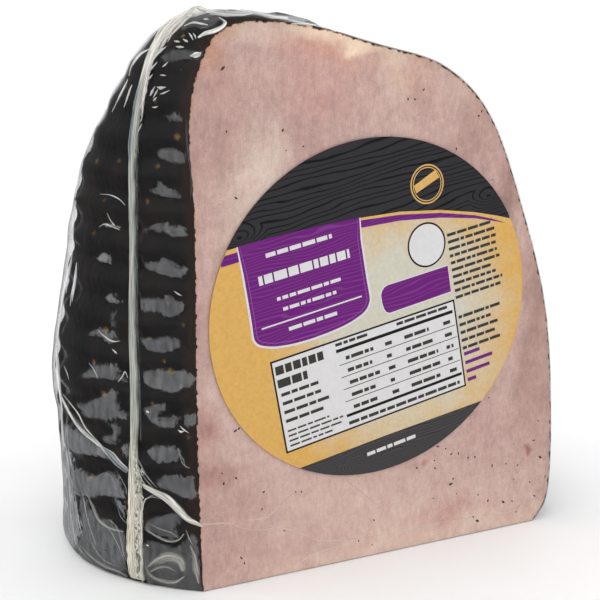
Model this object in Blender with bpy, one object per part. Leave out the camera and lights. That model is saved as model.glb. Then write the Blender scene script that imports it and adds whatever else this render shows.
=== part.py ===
"""Half of a boneless smoked ham with a caramel glazed rind, vacuum packed in clear film.

The ham was cut lengthwise, which gives the flat front face, and across, which gives the flat base.
A net has left level ribs in the rind. The film lies tight on the ham and is sealed in one fin that
runs up the left side, over the top and down the right side. A plain oval paper label is stuck on
the front. +X is to the right of the front face, +Y points from it into the ham, +Z is up.
"""
import bmesh
import bpy
import math
from mathutils import Vector

MM = 0.001

# The cut face's outline from its lower left corner round to its lower right one, in millimetres
FACE_OUTLINE_MM = (
    (0.0, 0.0),
    (-1.2, 45.0),
    (-1.0, 105.0),
    (-2.2, 134.0),
    (1.6, 151.5),
    (10.5, 161.0),
    (32.0, 160.4),
    (58.0, 154.6),
    (82.0, 148.6),
    (99.4, 132.8),
    (113.5, 101.0),
    (123.0, 70.0),
    (126.5, 35.0),
    (126.0, 9.0),
    (120.5, 0.0),
)
# The same way round the whole ham behind the face, seen from the front at its widest
HAM_OUTLINE_MM = (
    (-21.0, 0.0),
    (-22.6, 5.0),
    (-22.2, 20.0),
    (-23.4, 42.0),
    (-23.8, 60.0),
    (-20.8, 80.0),
    (-18.4, 95.0),
    (-18.0, 110.0),
    (-16.8, 122.0),
    (-13.6, 134.0),
    (-9.6, 145.0),
    (-6.0, 153.0),
    (-1.0, 159.0),
    (7.0, 163.4),
    (20.0, 164.6),
    (40.0, 161.4),
    (62.0, 155.4),
    (87.0, 147.6),
    (105.0, 132.0),
    (121.0, 105.0),
    (135.0, 72.0),
    (142.5, 36.0),
    (142.0, 9.0),
    (136.0, 0.0),
)
DEPTH = 100.5 * MM  # front face to the rounded back
WIDEST_LOW = 43.0 * MM  # where the ham is widest, behind the front face, near the base
WIDEST_TOP = 16.0 * MM
WIDEST_MOVES = (93.0 * MM, 164.0 * MM)  # the heights between which that place moves forward
PLAN_ROUNDNESS = 2.3  # of the back seen from above; 2 would be an ellipse, more is squarer
BACK_ROUNDNESS = 2.3  # of the back seen from the side

RIB_PITCH = 10.45 * MM
RIB_DEPTH = 1.5 * MM
RIB_FADE = 5.0 * MM  # the ribs start this far behind the front face and above the base

FIN_DEPTH = 15.0 * MM  # the seam's distance behind the front face
FIN_WIDTH = 2.0 * MM
FIN_HEIGHT = 1.3 * MM
FIN_LIFT = 0.4 * MM  # the fin ends this far above the base

LABEL_LENGTH = 110.0 * MM
LABEL_HEIGHT = 101.4 * MM
LABEL_THICKNESS = 0.4 * MM
LABEL_GAP = 0.3 * MM
LABEL_CENTRE = (57.7 * MM, 78.0 * MM)
LABEL_TURN = math.radians(10.3)

# How finely the shapes are divided
CURVE_STEPS = 24
LEVELS_PER_RIB = 4
LEVELS_ROUND_TOP = 14
FRONT_STEPS = 11
BACK_STEPS = 15
LABEL_POINTS = 96


def clear_scene():
    for old in list(bpy.data.objects):
        bpy.data.objects.remove(old, do_unlink=True)


def new_collection(name):
    group = bpy.data.collections.new(name)
    bpy.context.scene.collection.children.link(group)
    return group


def material(name, colour, roughness, coat=0.0):
    made = bpy.data.materials.new(name)
    made.use_nodes = True
    shader = made.node_tree.nodes["Principled BSDF"]
    shader.inputs["Base Color"].default_value = (*colour, 1.0)
    shader.inputs["Roughness"].default_value = roughness
    shader.inputs["Metallic"].default_value = 0.0
    shader.inputs["Coat Weight"].default_value = coat
    made.diffuse_color = (*colour, 1.0)
    return made


def smooth_step(start, end, value):
    t = min(max((value - start) / (end - start), 0.0), 1.0)
    return t * t * (3.0 - 2.0 * t)


def smooth_outline(points_mm):
    """A Catmull-Rom curve through the points, in metres."""
    points = [Vector(point) * MM for point in points_mm]
    ends = [2 * points[0] - points[1]] + points + [2 * points[-1] - points[-2]]
    curve = []
    for before, start, end, after in zip(ends, ends[1:], ends[2:], ends[3:]):
        for step in range(CURVE_STEPS):
            t = step / CURVE_STEPS
            bend = (2 * before - 5 * start + 4 * end - after) * t**2
            twist = (3 * start - 3 * end + after - before) * t**3
            curve.append(0.5 * (2 * start + (end - before) * t + bend + twist))
    curve.append(points[-1])
    return curve


def top_of(outline):
    return max(outline, key=lambda point: point.y)


def sides_at(outline, height):
    """Where a level line meets an outline's left and right side; both are its top above it."""
    top = top_of(outline)
    if height >= top.y:
        return top.x, top.x
    crossings = []
    for start, end in zip(outline, outline[1:]):
        if (start.y <= height) != (end.y <= height):
            crossings.append(start.lerp(end, (height - start.y) / (end.y - start.y)).x)
    return min(crossings), max(crossings)


def front_reach(half_face, half_ham, widest):
    """The half axis, along Y, of the ellipse that joins the face's edge to the widest place."""
    return widest / math.sqrt(1.0 - min(half_face / half_ham, 0.999) ** 2)


class Level:
    """The ham's outline at one height, seen from above."""

    def __init__(self, height, face, whole):
        self.height = height
        face_left, face_right = sides_at(face, height)
        whole_left, whole_right = sides_at(whole, height)
        top = top_of(whole).y
        face_top = top_of(face).y
        self.widest = WIDEST_LOW + (WIDEST_TOP - WIDEST_LOW) * smooth_step(*WIDEST_MOVES, height)
        self.middle = (face_left + face_right) / 2
        self.left = max(self.middle - whole_left, 0.0)
        self.right = max(whole_right - self.middle, 0.0)
        if height < face_top:
            half_face = (face_right - face_left) / 2
            self.left_reach = front_reach(half_face, self.left, self.widest)
            self.right_reach = front_reach(half_face, self.right, self.widest)
        else:
            share = (height - face_top) / (top - face_top)
            self.left_reach = self.widest * math.sqrt(max(1.0 - share**2, 0.0))
            self.right_reach = self.left_reach
        roundness = BACK_ROUNDNESS
        dome = max(1.0 - (height / top) ** roundness, 0.0) ** (1.0 / roundness)
        self.back = (DEPTH - WIDEST_TOP) * dome - (self.widest - WIDEST_TOP)

    def front_point(self, share, is_left):
        """From the face's edge, at 0, to the widest place, at 1."""
        reach = self.left_reach if is_left else self.right_reach
        start = -math.asin(min(self.widest / reach, 1.0)) if reach > 0.0 else 0.0
        angle = start * (1.0 - share)
        across = math.cos(angle) * (-self.left if is_left else self.right)
        return Vector((self.middle + across, self.widest + reach * math.sin(angle), self.height))

    def back_point(self, share, is_left):
        """From the widest place, at 0, to the middle of the back, at 1."""
        angle = share * math.pi / 2
        across = math.cos(angle) ** (2.0 / PLAN_ROUNDNESS) if share < 1.0 else 0.0
        depth = math.sin(angle) ** (2.0 / PLAN_ROUNDNESS)
        side = -self.left if is_left else self.right
        return Vector((self.middle + across * side, self.widest + depth * self.back, self.height))

    def points(self):
        """The whole outline from the face's left edge round the back to its right edge."""
        fronts = [step / FRONT_STEPS for step in range(FRONT_STEPS)]
        backs = [step / BACK_STEPS for step in range(BACK_STEPS)]
        left = [self.front_point(share, True) for share in fronts]
        left += [self.back_point(share, True) for share in backs]
        right = [self.front_point(share, False) for share in fronts]
        right += [self.back_point(share, False) for share in backs]
        return left + [self.back_point(1.0, True)] + list(reversed(right))

    def at_depth(self, depth):
        """Where the outline has this depth on its left and right, or None above it."""
        places = []
        for side, reach in ((-self.left, self.left_reach), (self.right, self.right_reach)):
            if reach <= self.widest - depth:
                return None
            places.append(
                self.middle + side * math.sqrt(1.0 - ((self.widest - depth) / reach) ** 2)
            )
        return places


def level_heights(top):
    """Levels that meet every rib's crest and groove, and crowd together near the top."""
    step = RIB_PITCH / LEVELS_PER_RIB
    even = [index * step for index in range(int(0.86 * top / step))]
    last = even[-1]
    crowded = []
    for index in range(1, LEVELS_ROUND_TOP + 1):
        angle = index / (LEVELS_ROUND_TOP + 1) * math.pi / 2
        crowded.append(last + (top - last) * math.sin(angle))
    return even + crowded


def rib_relief(point, normal):
    """How far the net's ribs move a point of the rind inwards."""
    groove = 0.5 + 0.5 * math.cos(2.0 * math.pi * point.z / RIB_PITCH)
    fade = smooth_step(0.0, RIB_FADE, point.y) * smooth_step(0.0, RIB_FADE, point.z)
    return RIB_DEPTH * groove * fade * (1.0 - abs(normal.z))


def ham_mesh(levels):
    """Level rings joined to each other, closed by the flat base, the cut face and the top."""
    shape = bmesh.new()
    rings = [[shape.verts.new(point) for point in level.points()] for level in levels]
    for low, high in zip(rings, rings[1:]):
        for index in range(len(low) - 1):
            shape.faces.new((low[index], high[index], high[index + 1], low[index + 1]))
    shape.faces.new(rings[0])
    shape.faces.new(list(reversed(rings[-1])))
    left_edge = [ring[0] for ring in rings]
    right_edge = [ring[-1] for ring in rings]
    for index in range(len(rings) - 1):
        corners = (left_edge[index], right_edge[index], right_edge[index + 1], left_edge[index + 1])
        shape.faces.new(corners).material_index = 1
    bmesh.ops.remove_doubles(shape, verts=shape.verts, dist=0.02 * MM)
    bmesh.ops.recalc_face_normals(shape, faces=shape.faces)
    shape.normal_update()
    moves = []
    for vert in shape.verts:
        across = Vector((vert.normal.x, vert.normal.y, 0.0))
        moves.append((vert, across * rib_relief(vert.co, vert.normal)))
    for vert, move in moves:
        vert.co -= move
    bmesh.ops.triangulate(shape, faces=shape.faces)
    mesh = bpy.data.meshes.new("vacuum_pack")
    shape.to_mesh(mesh)
    shape.free()
    return mesh


def fin_mesh(levels):
    """A plate in the seam's plane, its rim standing proud of the ham all round."""
    outline = []
    for level in levels:
        places = level.at_depth(FIN_DEPTH)
        if places is None:
            continue
        left = Vector((places[0], level.height))
        right = Vector((places[1], level.height))
        outline = [left] + outline + [right]
    proud = []
    for before, point, after in zip(outline, outline[1:], outline[2:]):
        along = (after - before).normalized()
        proud.append(point + Vector((along.y, -along.x)) * FIN_HEIGHT)
    for place, first in ((0, outline[0]), (len(proud), outline[-1])):
        proud.insert(place, first + Vector((math.copysign(FIN_HEIGHT, first.x), 0.0)))
    shape = bmesh.new()
    front = FIN_DEPTH - FIN_WIDTH / 2
    rim = [shape.verts.new((p.x, front, max(p.y, FIN_LIFT))) for p in proud]
    plate = shape.faces.new(rim)
    grown = bmesh.ops.extrude_face_region(shape, geom=[plate])["geom"]
    backs = [item for item in grown if isinstance(item, bmesh.types.BMVert)]
    bmesh.ops.translate(shape, verts=backs, vec=(0.0, FIN_WIDTH, 0.0))
    bmesh.ops.recalc_face_normals(shape, faces=shape.faces)
    mesh = bpy.data.meshes.new("fin")
    shape.to_mesh(mesh)
    shape.free()
    return mesh


def make_pack(group, cutters):
    """The ham in its film, with the sealed fin fused on."""
    face = smooth_outline(FACE_OUTLINE_MM)
    whole = smooth_outline(HAM_OUTLINE_MM)
    levels = [Level(height, face, whole) for height in level_heights(top_of(whole).y)]
    mesh = ham_mesh(levels)
    mesh.materials.append(material("glazed_rind", (0.018, 0.013, 0.011), 0.3, coat=1.0))
    mesh.materials.append(material("cut_ham", (0.56, 0.36, 0.30), 0.35, coat=1.0))
    pack = bpy.data.objects.new("vacuum_pack", mesh)
    group.objects.link(pack)
    fin = bpy.data.objects.new("fin", fin_mesh(levels))
    fin.data.materials.append(mesh.materials[0])
    cutters.objects.link(fin)
    join = pack.modifiers.new("fin", "BOOLEAN")
    join.operation = "UNION"
    join.solver = "EXACT"
    join.object = fin
    bpy.context.view_layer.update()
    seen = pack.evaluated_get(bpy.context.evaluated_depsgraph_get())
    pack.data = bpy.data.meshes.new_from_object(seen)
    pack.modifiers.clear()
    bpy.data.objects.remove(fin, do_unlink=True)
    pack.data.name = "vacuum_pack"
    pack.data.shade_smooth()
    pack.data.set_sharp_from_angle(angle=math.radians(50.0))
    return pack


def make_label(group):
    """A thin oval plate, turned a little on the front face."""
    bpy.ops.mesh.primitive_cylinder_add(vertices=LABEL_POINTS, radius=0.5, depth=1.0)
    label = bpy.context.active_object
    label.name = "label"
    label.data.name = "label"
    for vert in label.data.vertices:
        flat = Vector((vert.co.x * LABEL_LENGTH, vert.co.y * LABEL_HEIGHT))
        across = flat.x * math.cos(LABEL_TURN) - flat.y * math.sin(LABEL_TURN)
        up = flat.x * math.sin(LABEL_TURN) + flat.y * math.cos(LABEL_TURN)
        vert.co = Vector((across, -vert.co.z * LABEL_THICKNESS, up))
    label.location = (LABEL_CENTRE[0], -LABEL_GAP - LABEL_THICKNESS / 2, LABEL_CENTRE[1])
    label.data.materials.append(material("label_paper", (0.72, 0.55, 0.30), 0.45))
    for old in list(label.users_collection):
        old.objects.unlink(label)
    group.objects.link(label)
    return label


def centre_on_base(parts):
    """Moves all parts so that the middle of the base of their common box is the origin."""
    bpy.context.view_layer.update()
    corners = [part.matrix_world @ vert.co for part in parts for vert in part.data.vertices]
    low = Vector([min(corner[axis] for corner in corners) for axis in range(3)])
    high = Vector([max(corner[axis] for corner in corners) for axis in range(3)])
    offset = Vector(((low.x + high.x) / 2, (low.y + high.y) / 2, low.z))
    for part in parts:
        part.location -= offset


def main():
    clear_scene()
    group = new_collection("glazed_ham_pack")
    cutters = new_collection("cutters")
    centre_on_base([make_pack(group, cutters), make_label(group)])


main()
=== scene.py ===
"""Half of a boneless smoked ham with a caramel glazed rind, vacuum packed, with an oval sticker.

Sizes on the ham are in millimetres from the cut face's lower left corner: x to the right along
the face, y behind it, z up. Places on the film are given by where the photograph shows them, and
a line of sight through that pixel finds the film.
"""

import bmesh
import bpy
import math
import random
from mathutils import Matrix, Vector, noise
from mathutils.bvhtree import BVHTree


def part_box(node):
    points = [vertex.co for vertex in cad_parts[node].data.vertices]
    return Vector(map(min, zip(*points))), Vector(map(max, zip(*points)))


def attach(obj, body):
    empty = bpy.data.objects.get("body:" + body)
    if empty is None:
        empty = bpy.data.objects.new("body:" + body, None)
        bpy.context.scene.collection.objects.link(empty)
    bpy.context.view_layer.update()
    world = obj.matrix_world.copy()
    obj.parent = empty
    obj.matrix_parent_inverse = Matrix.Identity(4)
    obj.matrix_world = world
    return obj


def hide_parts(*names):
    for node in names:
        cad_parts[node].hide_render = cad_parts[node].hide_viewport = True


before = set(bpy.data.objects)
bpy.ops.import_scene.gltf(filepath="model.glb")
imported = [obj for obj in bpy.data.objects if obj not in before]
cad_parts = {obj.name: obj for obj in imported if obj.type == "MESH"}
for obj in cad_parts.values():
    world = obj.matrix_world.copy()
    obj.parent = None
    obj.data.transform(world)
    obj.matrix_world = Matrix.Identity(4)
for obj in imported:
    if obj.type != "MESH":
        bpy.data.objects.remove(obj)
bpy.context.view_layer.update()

MM = 0.001

# The sticker fixes the face's own frame in the pack's frame
LABEL_LOW, LABEL_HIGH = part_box("label")
LABEL_MIDDLE = (LABEL_LOW + LABEL_HIGH) / 2
LABEL_CENTRE_MM = (57.7, 78.0)
PRINT_CENTRE_MM = (54.2, 79.2)
LABEL_GAP_MM = 0.3
LABEL_THICKNESS_MM = 0.4
PLATE_STEP_MM = 0.015
FACE_CORNER = Vector(
    (
        LABEL_MIDDLE.x - LABEL_CENTRE_MM[0] * MM,
        LABEL_HIGH.y + LABEL_GAP_MM * MM,
        LABEL_MIDDLE.z - LABEL_CENTRE_MM[1] * MM,
    )
)
PRINT_TURN = math.radians(10.8)
LABEL_TURN = math.radians(10.3)
LABEL_HALVES_MM = (55.0, 50.7)

# The camera, fitted to the sticker and the cut face
CAMERA_MM = (-161.8, -345.8, 162.2)
SIGHT = Vector((0.47989561, 0.85516391, -0.19594614))
FOCAL_PIXELS = 1400.0
IMAGE_PIXELS = 600.0
SENSOR = 36.0

# The ham's shape is the solid's, but the face's top edge is up to 1 mm higher to meet the photograph
FACE_OUTLINE_MM = (
    (0.0, 0.0), (-1.2, 45.0), (-1.0, 105.0), (-2.2, 134.0), (1.6, 151.5), (10.5, 161.0), (32.0, 161.3),
    (58.0, 155.4), (82.0, 148.6), (99.4, 132.8), (113.5, 101.0), (123.0, 70.0), (126.5, 35.0),
    (126.0, 9.0), (120.5, 0.0),
)
HAM_OUTLINE_MM = (
    (-21.0, 0.0), (-22.6, 5.0), (-22.2, 20.0), (-23.4, 42.0), (-23.8, 60.0), (-20.8, 80.0),
    (-18.4, 95.0), (-18.0, 110.0), (-16.8, 122.0), (-13.6, 134.0), (-9.6, 145.0), (-6.0, 153.0),
    (-1.0, 159.0), (7.0, 163.4), (20.0, 164.6), (40.0, 161.4), (62.0, 155.4), (87.0, 147.6),
    (105.0, 132.0), (121.0, 105.0), (135.0, 72.0), (142.5, 36.0), (142.0, 9.0), (136.0, 0.0),
)
DEPTH = 100.5
WIDEST_LOW = 43.0
WIDEST_TOP = 16.0
WIDEST_MOVES = (93.0, 164.0)
PLAN_ROUNDNESS = 2.3
BACK_ROUNDNESS = 2.3
RIB_PITCH = 10.45
RIB_DEPTH = 1.5
RIB_FADE = 5.0
FILM_GAP = 0.18
FACE_FILM_GAP = 0.12

# How finely the ham and its film are divided
OUTLINE_STEPS = 24
LEVEL_STEP = 0.66
EVEN_SHARE = 0.95
LEVELS_ROUND_TOP = 18
RING_STEPS = (86, 52, 44, 44)
FACE_RINGS = (0.0, 0.35, 0.8, 1.5, 2.5, 4.0, 6.0, 9.0, 13.0, 18.0, 24.0, 31.0, 39.0, 48.0)
BASE_STEPS = 120


def smooth_step(start, end, value):
    """0 before the start, 1 after the end, and a soft rise between them."""
    t = min(max((value - start) / (end - start), 0.0), 1.0)
    return t * t * (3.0 - 2.0 * t)


def window(value, low, high, soft):
    """1 between low and high, falling to 0 within soft outside them."""
    return smooth_step(low - soft, low, value) * (1.0 - smooth_step(high, high + soft, value))


def smooth_line(points, steps):
    """A Catmull-Rom curve through the points."""
    points = [Vector(point) for point in points]
    ends = [2 * points[0] - points[1]] + points + [2 * points[-1] - points[-2]]
    curve = []
    for before, start, end, after in zip(ends, ends[1:], ends[2:], ends[3:]):
        for step in range(steps):
            t = step / steps
            bend = (2 * before - 5 * start + 4 * end - after) * t**2
            twist = (3 * start - 3 * end + after - before) * t**3
            curve.append(0.5 * (2 * start + (end - before) * t + bend + twist))
    curve.append(points[-1])
    return curve


def on_ham(point_mm):
    """A place in the face's own millimetres as metres in the pack's frame."""
    return FACE_CORNER + Vector(point_mm) * MM


def top_of(outline):
    """An outline's highest point."""
    return max(outline, key=lambda point: point.y)


def sides_at(outline, height):
    """Where a level line meets an outline's left and right side; both are its top above it."""
    top = top_of(outline)
    if height >= top.y:
        return top.x, top.x
    crossings = []
    for start, end in zip(outline, outline[1:]):
        if (start.y <= height) != (end.y <= height):
            crossings.append(start.lerp(end, (height - start.y) / (end.y - start.y)).x)
    return min(crossings), max(crossings)


class Level:
    """The ham's outline at one height, seen from above."""

    def __init__(self, height, face, whole):
        """Taken from the cut face's outline and the whole ham's."""
        self.height = height
        face_left, face_right = sides_at(face, height)
        whole_left, whole_right = sides_at(whole, height)
        top = top_of(whole).y
        face_top = top_of(face).y
        self.widest = WIDEST_LOW + (WIDEST_TOP - WIDEST_LOW) * smooth_step(*WIDEST_MOVES, height)
        self.middle = (face_left + face_right) / 2
        self.left = max(self.middle - whole_left, 0.0)
        self.right = max(whole_right - self.middle, 0.0)
        if height < face_top:
            half_face = (face_right - face_left) / 2
            reaches = []
            for half in (self.left, self.right):
                reaches.append(self.widest / math.sqrt(1.0 - min(half_face / half, 0.999) ** 2))
            self.left_reach, self.right_reach = reaches
        else:
            share = (height - face_top) / (top - face_top)
            self.left_reach = self.widest * math.sqrt(max(1.0 - share**2, 0.0))
            self.right_reach = self.left_reach
        dome = max(1.0 - (height / top) ** BACK_ROUNDNESS, 0.0) ** (1.0 / BACK_ROUNDNESS)
        self.back = (DEPTH - WIDEST_TOP) * dome - (self.widest - WIDEST_TOP)

    def front_point(self, share, is_left):
        """From the face's edge, at 0, to the widest place, at 1."""
        reach = self.left_reach if is_left else self.right_reach
        start = -math.asin(min(self.widest / reach, 1.0)) if reach > 0.0 else 0.0
        angle = start * (1.0 - share)
        across = math.cos(angle) * (-self.left if is_left else self.right)
        return Vector((self.middle + across, self.widest + reach * math.sin(angle), self.height))

    def back_point(self, share, is_left):
        """From the widest place, at 0, to the middle of the back, at 1."""
        angle = share * math.pi / 2
        across = math.cos(angle) ** (2.0 / PLAN_ROUNDNESS) if share < 1.0 else 0.0
        depth = math.sin(angle) ** (2.0 / PLAN_ROUNDNESS)
        side = -self.left if is_left else self.right
        return Vector((self.middle + across * side, self.widest + depth * self.back, self.height))

    def points(self):
        """The whole outline from the face's left edge round the back to its right edge."""
        left_front, left_back, right_back, right_front = RING_STEPS
        ring = [self.front_point(step / left_front, True) for step in range(left_front)]
        ring += [self.back_point(step / left_back, True) for step in range(left_back)]
        ring += [self.back_point(1.0 - step / right_back, False) for step in range(right_back)]
        shares = [1.0 - step / right_front for step in range(right_front + 1)]
        ring += [self.front_point(share, False) for share in shares]
        return ring


def level_heights(top):
    """Heights of the levels: even ones, then ever closer ones where the crown rounds off."""
    even = [index * LEVEL_STEP for index in range(int(EVEN_SHARE * top / LEVEL_STEP))]
    crowded = []
    for index in range(1, LEVELS_ROUND_TOP + 1):
        angle = index / (LEVELS_ROUND_TOP + 1) * math.pi / 2
        crowded.append(even[-1] + (top - even[-1]) * math.sin(angle))
    return even + crowded


FACE = smooth_line(FACE_OUTLINE_MM, OUTLINE_STEPS)
WHOLE = smooth_line(HAM_OUTLINE_MM, OUTLINE_STEPS)
RINGS = [Level(height, FACE, WHOLE).points() for height in level_heights(top_of(WHOLE).y)]
FACE_MIDDLE = Vector((60.0, 0.0, 78.0))


def ring_normals(rings):
    """The smooth ham's outward direction at each point of each ring."""
    normals = []
    for row, ring in enumerate(rings):
        below = rings[max(row - 1, 0)]
        above = rings[min(row + 1, len(rings) - 1)]
        line = []
        for index in range(len(ring)):
            before = ring[max(index - 1, 0)]
            after = ring[min(index + 1, len(ring) - 1)]
            normal = (above[index] - below[index]).cross(after - before)
            if normal.length < 1e-6:
                normal = Vector((0.0, 0.0, 1.0))
            line.append(normal.normalized())
        normals.append(line)
    return normals


NORMALS = ring_normals(RINGS)


def groove(point, normal):
    """How deep the net's ribs cut in at a point of the rind."""
    wave = 0.5 + 0.5 * math.cos(2.0 * math.pi * point.z / RIB_PITCH)
    fade = smooth_step(0.0, RIB_FADE, point.y) * smooth_step(0.0, RIB_FADE, point.z)
    return RIB_DEPTH * wave * fade * (1.0 - abs(normal.z))


# How far a patch's edge is felt, in pixels, and how far round the limb the photograph is followed
PATCH_REACH = 4.0
SEEN_FACING = -0.35
# Where slack film bridges the net's grooves, a grey veil is painted on it as the film's reflection: how
# strongly the painted reflection veils, and its outline in the photograph's pixels
PATCHES = (
    (0.111, ((164, 116), (168, 115), (174, 112), (179, 115), (183, 120), (178, 121), (168, 121))),
    (0.136, (
        (156, 152), (161, 149), (167, 149), (175, 149), (179, 151), (183, 153), (186.5, 152),
        (186, 163), (178, 163), (167, 162), (161, 159), (156, 157))),
    (0.145, (
        (159, 181), (161, 183), (168, 188), (175, 191), (182, 197), (178, 198.5), (162, 197),
        (149, 192), (148.5, 191), (154, 189), (157, 184.5))),
    (0.145, (
        (141.6, 231), (148, 227), (154, 224.6), (162, 224), (166, 223), (170, 226), (186, 226.6),
        (186.3, 236), (182, 237.4), (171, 237.4), (166, 234), (161, 231.7), (154, 233.6), (152, 230),
        (148, 231), (144, 232))),
    (0.153, (
        (141, 260), (144, 263), (149, 263), (158, 261.6), (162, 258), (167, 258), (172, 262),
        (175, 266.7), (179, 268), (184, 266.7), (187.6, 268), (187.6, 270.6), (183, 277), (175, 277.6),
        (168, 277), (159.5, 275), (154, 272), (149, 271), (145.5, 268.6))),
    (0.153, (
        (139, 298.6), (145.5, 299), (154, 298.6), (161, 299), (164, 296), (168, 296), (173.5, 299),
        (178, 302), (182, 303.7), (186, 302), (185.6, 305.6), (182, 311), (175, 316.5), (168, 318),
        (164, 316), (161, 313), (157, 312), (144, 312), (140, 309))),
    (0.153, (
        (138, 335.6), (143, 338), (149, 339), (158, 338), (168, 337), (175, 339), (180.5, 343),
        (180.5, 346), (176, 349.6), (170, 351.6), (162, 353), (152, 352), (147, 350), (145, 347),
        (141.6, 343))),
    (0.17, (
        (141.7, 375), (144, 371), (153, 370), (161.5, 369), (167, 370), (172, 372.5), (177.6, 371),
        (183, 370), (188, 372.5), (194.5, 376), (196.6, 377.6), (194.5, 384), (186, 388), (180.5, 389),
        (177.6, 392.6), (170, 393), (163, 391.5), (155.6, 388.6), (150, 388), (144, 384))),
    (0.17, (
        (144, 408), (150, 407), (158.5, 404.7), (164, 404), (167, 406), (163, 410.6), (158.5, 413.5),
        (157, 417), (159, 419), (167, 418.7), (176, 417), (179, 419), (176, 424.5), (172, 428),
        (166, 428), (158.5, 426.7), (153, 424), (147, 418.7), (144, 414))),
    (0.145, (
        (184, 415.7), (186, 413.5), (191, 415), (194.5, 413.5), (197.4, 415.7), (199, 420),
        (196, 424.5), (191, 426), (186, 426), (183.7, 423))),
    (0.17, (
        (145, 451), (153, 447), (161.5, 446.5), (172, 447), (179, 448.7), (181, 451), (180, 457),
        (177.6, 461), (172, 462.7), (164, 462.7), (157, 463.4), (154, 461), (150, 458))),
    (0.162, (
        (155, 482), (158.5, 479), (166, 475), (175, 475), (182, 476), (186, 477), (192, 474),
        (194.5, 476), (194, 483), (195, 489), (199, 492), (198, 496), (194, 499), (186, 498.6),
        (179, 495.6), (172, 492.7), (166, 490), (159, 489), (155.6, 485))),
    (0.128, (
        (144.6, 524), (150, 520), (158.5, 517.6), (167, 515), (173, 512.5), (179, 513), (182, 517),
        (179, 523), (175, 528.6), (177.6, 534), (179, 537), (173, 539), (167, 536), (158.5, 534.5),
        (151, 532), (145, 528.6))),
    (0.119, (
        (142, 545), (150, 540), (163, 544), (175, 548), (186, 541), (194, 533), (198, 541), (200, 560),
        (203, 592), (190, 591), (170, 588), (150, 583), (143, 570))),
    (0.26, (
        (163, 560), (175, 556), (185, 562), (184, 573), (176, 580), (164, 580), (160, 576), (173, 573),
        (176, 567), (170, 563))),
    (0.332, (
        (99.5, 226), (103.4, 224), (109, 224), (111, 222.7), (112, 225), (116, 226.6), (120, 228.7),
        (115, 229), (111, 227.6), (104, 226.8))),
    (0.285, (
        (95.7, 259), (98.3, 256.5), (102, 252.7), (104.6, 254), (108, 256.5), (109, 261.6), (108, 264),
        (103.4, 263), (98.3, 261.6))),
    (0.23, (
        (102.7, 298), (107, 295), (111, 294), (116, 295.4), (113.6, 298), (116, 300.5), (121, 302.4),
        (117.4, 303.7), (111, 303.7), (107, 302))),
    (0.17, (
        (86, 336), (90, 332), (98.3, 328.6), (103.4, 329), (106, 332), (113.6, 331), (115.5, 333),
        (115, 337), (112, 339.4), (116, 341), (115, 342), (108.5, 344), (103.4, 340.7), (99.5, 337),
        (94, 336))),
    (0.085, ((111, 315), (116, 311), (115, 327), (111, 327))),
    (0.17, (
        (81, 374), (85, 371.7), (92.5, 369), (89, 364), (94, 365), (106, 364.4), (114.5, 364),
        (118, 367), (117.5, 373), (116, 376), (120, 377.6), (127.7, 380.5), (127.7, 382.7), (120, 381),
        (109, 380), (97, 378), (85, 377.6))),
    (0.162, (
        (76.4, 403), (81.5, 402.5), (83, 404.7), (89.6, 401), (100, 397.4), (104, 393.7), (109, 391),
        (113, 390), (116.7, 391.5), (116, 396.7), (116.7, 402.5), (117.5, 410), (122, 414),
        (127.7, 415), (126, 419), (119, 418.7), (111.6, 419), (107, 421), (101, 418.7), (94, 418),
        (85, 416.5), (83, 411), (79, 407))),
    (0.221, (
        (61.4, 423), (66, 424.5), (72, 429), (77, 433), (84, 436), (88, 439), (94, 444), (100, 448.7),
        (109, 454), (111.6, 458), (106, 458), (97, 456), (87, 454.6), (78, 454), (70.5, 451),
        (64.7, 443.6), (62.5, 435))),
    (0.136, (
        (110, 424), (115, 423), (120, 427.5), (123, 433), (117, 435), (116.7, 440), (113, 445),
        (108, 445), (103, 442), (100, 439), (104, 436), (111.6, 435), (114.5, 430))),
    (0.187, ((119, 446.5), (127.7, 444), (129, 451), (127.7, 457), (122, 454))),
    (0.204, (
        (73.5, 468.5), (79, 469), (85, 474), (92.5, 477), (100, 474), (106, 472), (111.6, 473.7),
        (116, 477), (120, 485), (125, 492), (126, 498), (116, 498), (106, 495), (98, 496.4),
        (90, 498.6), (82, 496), (75, 496), (72, 486), (72, 476))),
    (0.4, (
        (62, 440), (68, 447), (72, 463), (73.5, 496), (78, 510), (80, 530), (78, 545), (70, 552),
        (60, 545), (60, 480))),
    (0.17, (
        (78, 497), (84, 498.6), (86, 506), (98, 518), (113, 520), (114.5, 526), (125, 531.6),
        (126, 564), (128, 582), (116, 574), (100, 569), (86, 563), (70, 554), (78, 545), (82, 525))),
    (0.221, ((114.5, 499), (123, 503), (125.5, 514), (123, 518), (119, 511), (116, 505))),
    (0.1, (
        (172, 27), (184, 19), (195, 11), (210, 13), (221, 17), (216, 26), (205, 30), (195, 27),
        (184, 30))),
    (0.09, ((160, 58), (172, 50), (188, 50), (203, 54), (198, 60), (180, 60), (166, 63))),
)
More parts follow.
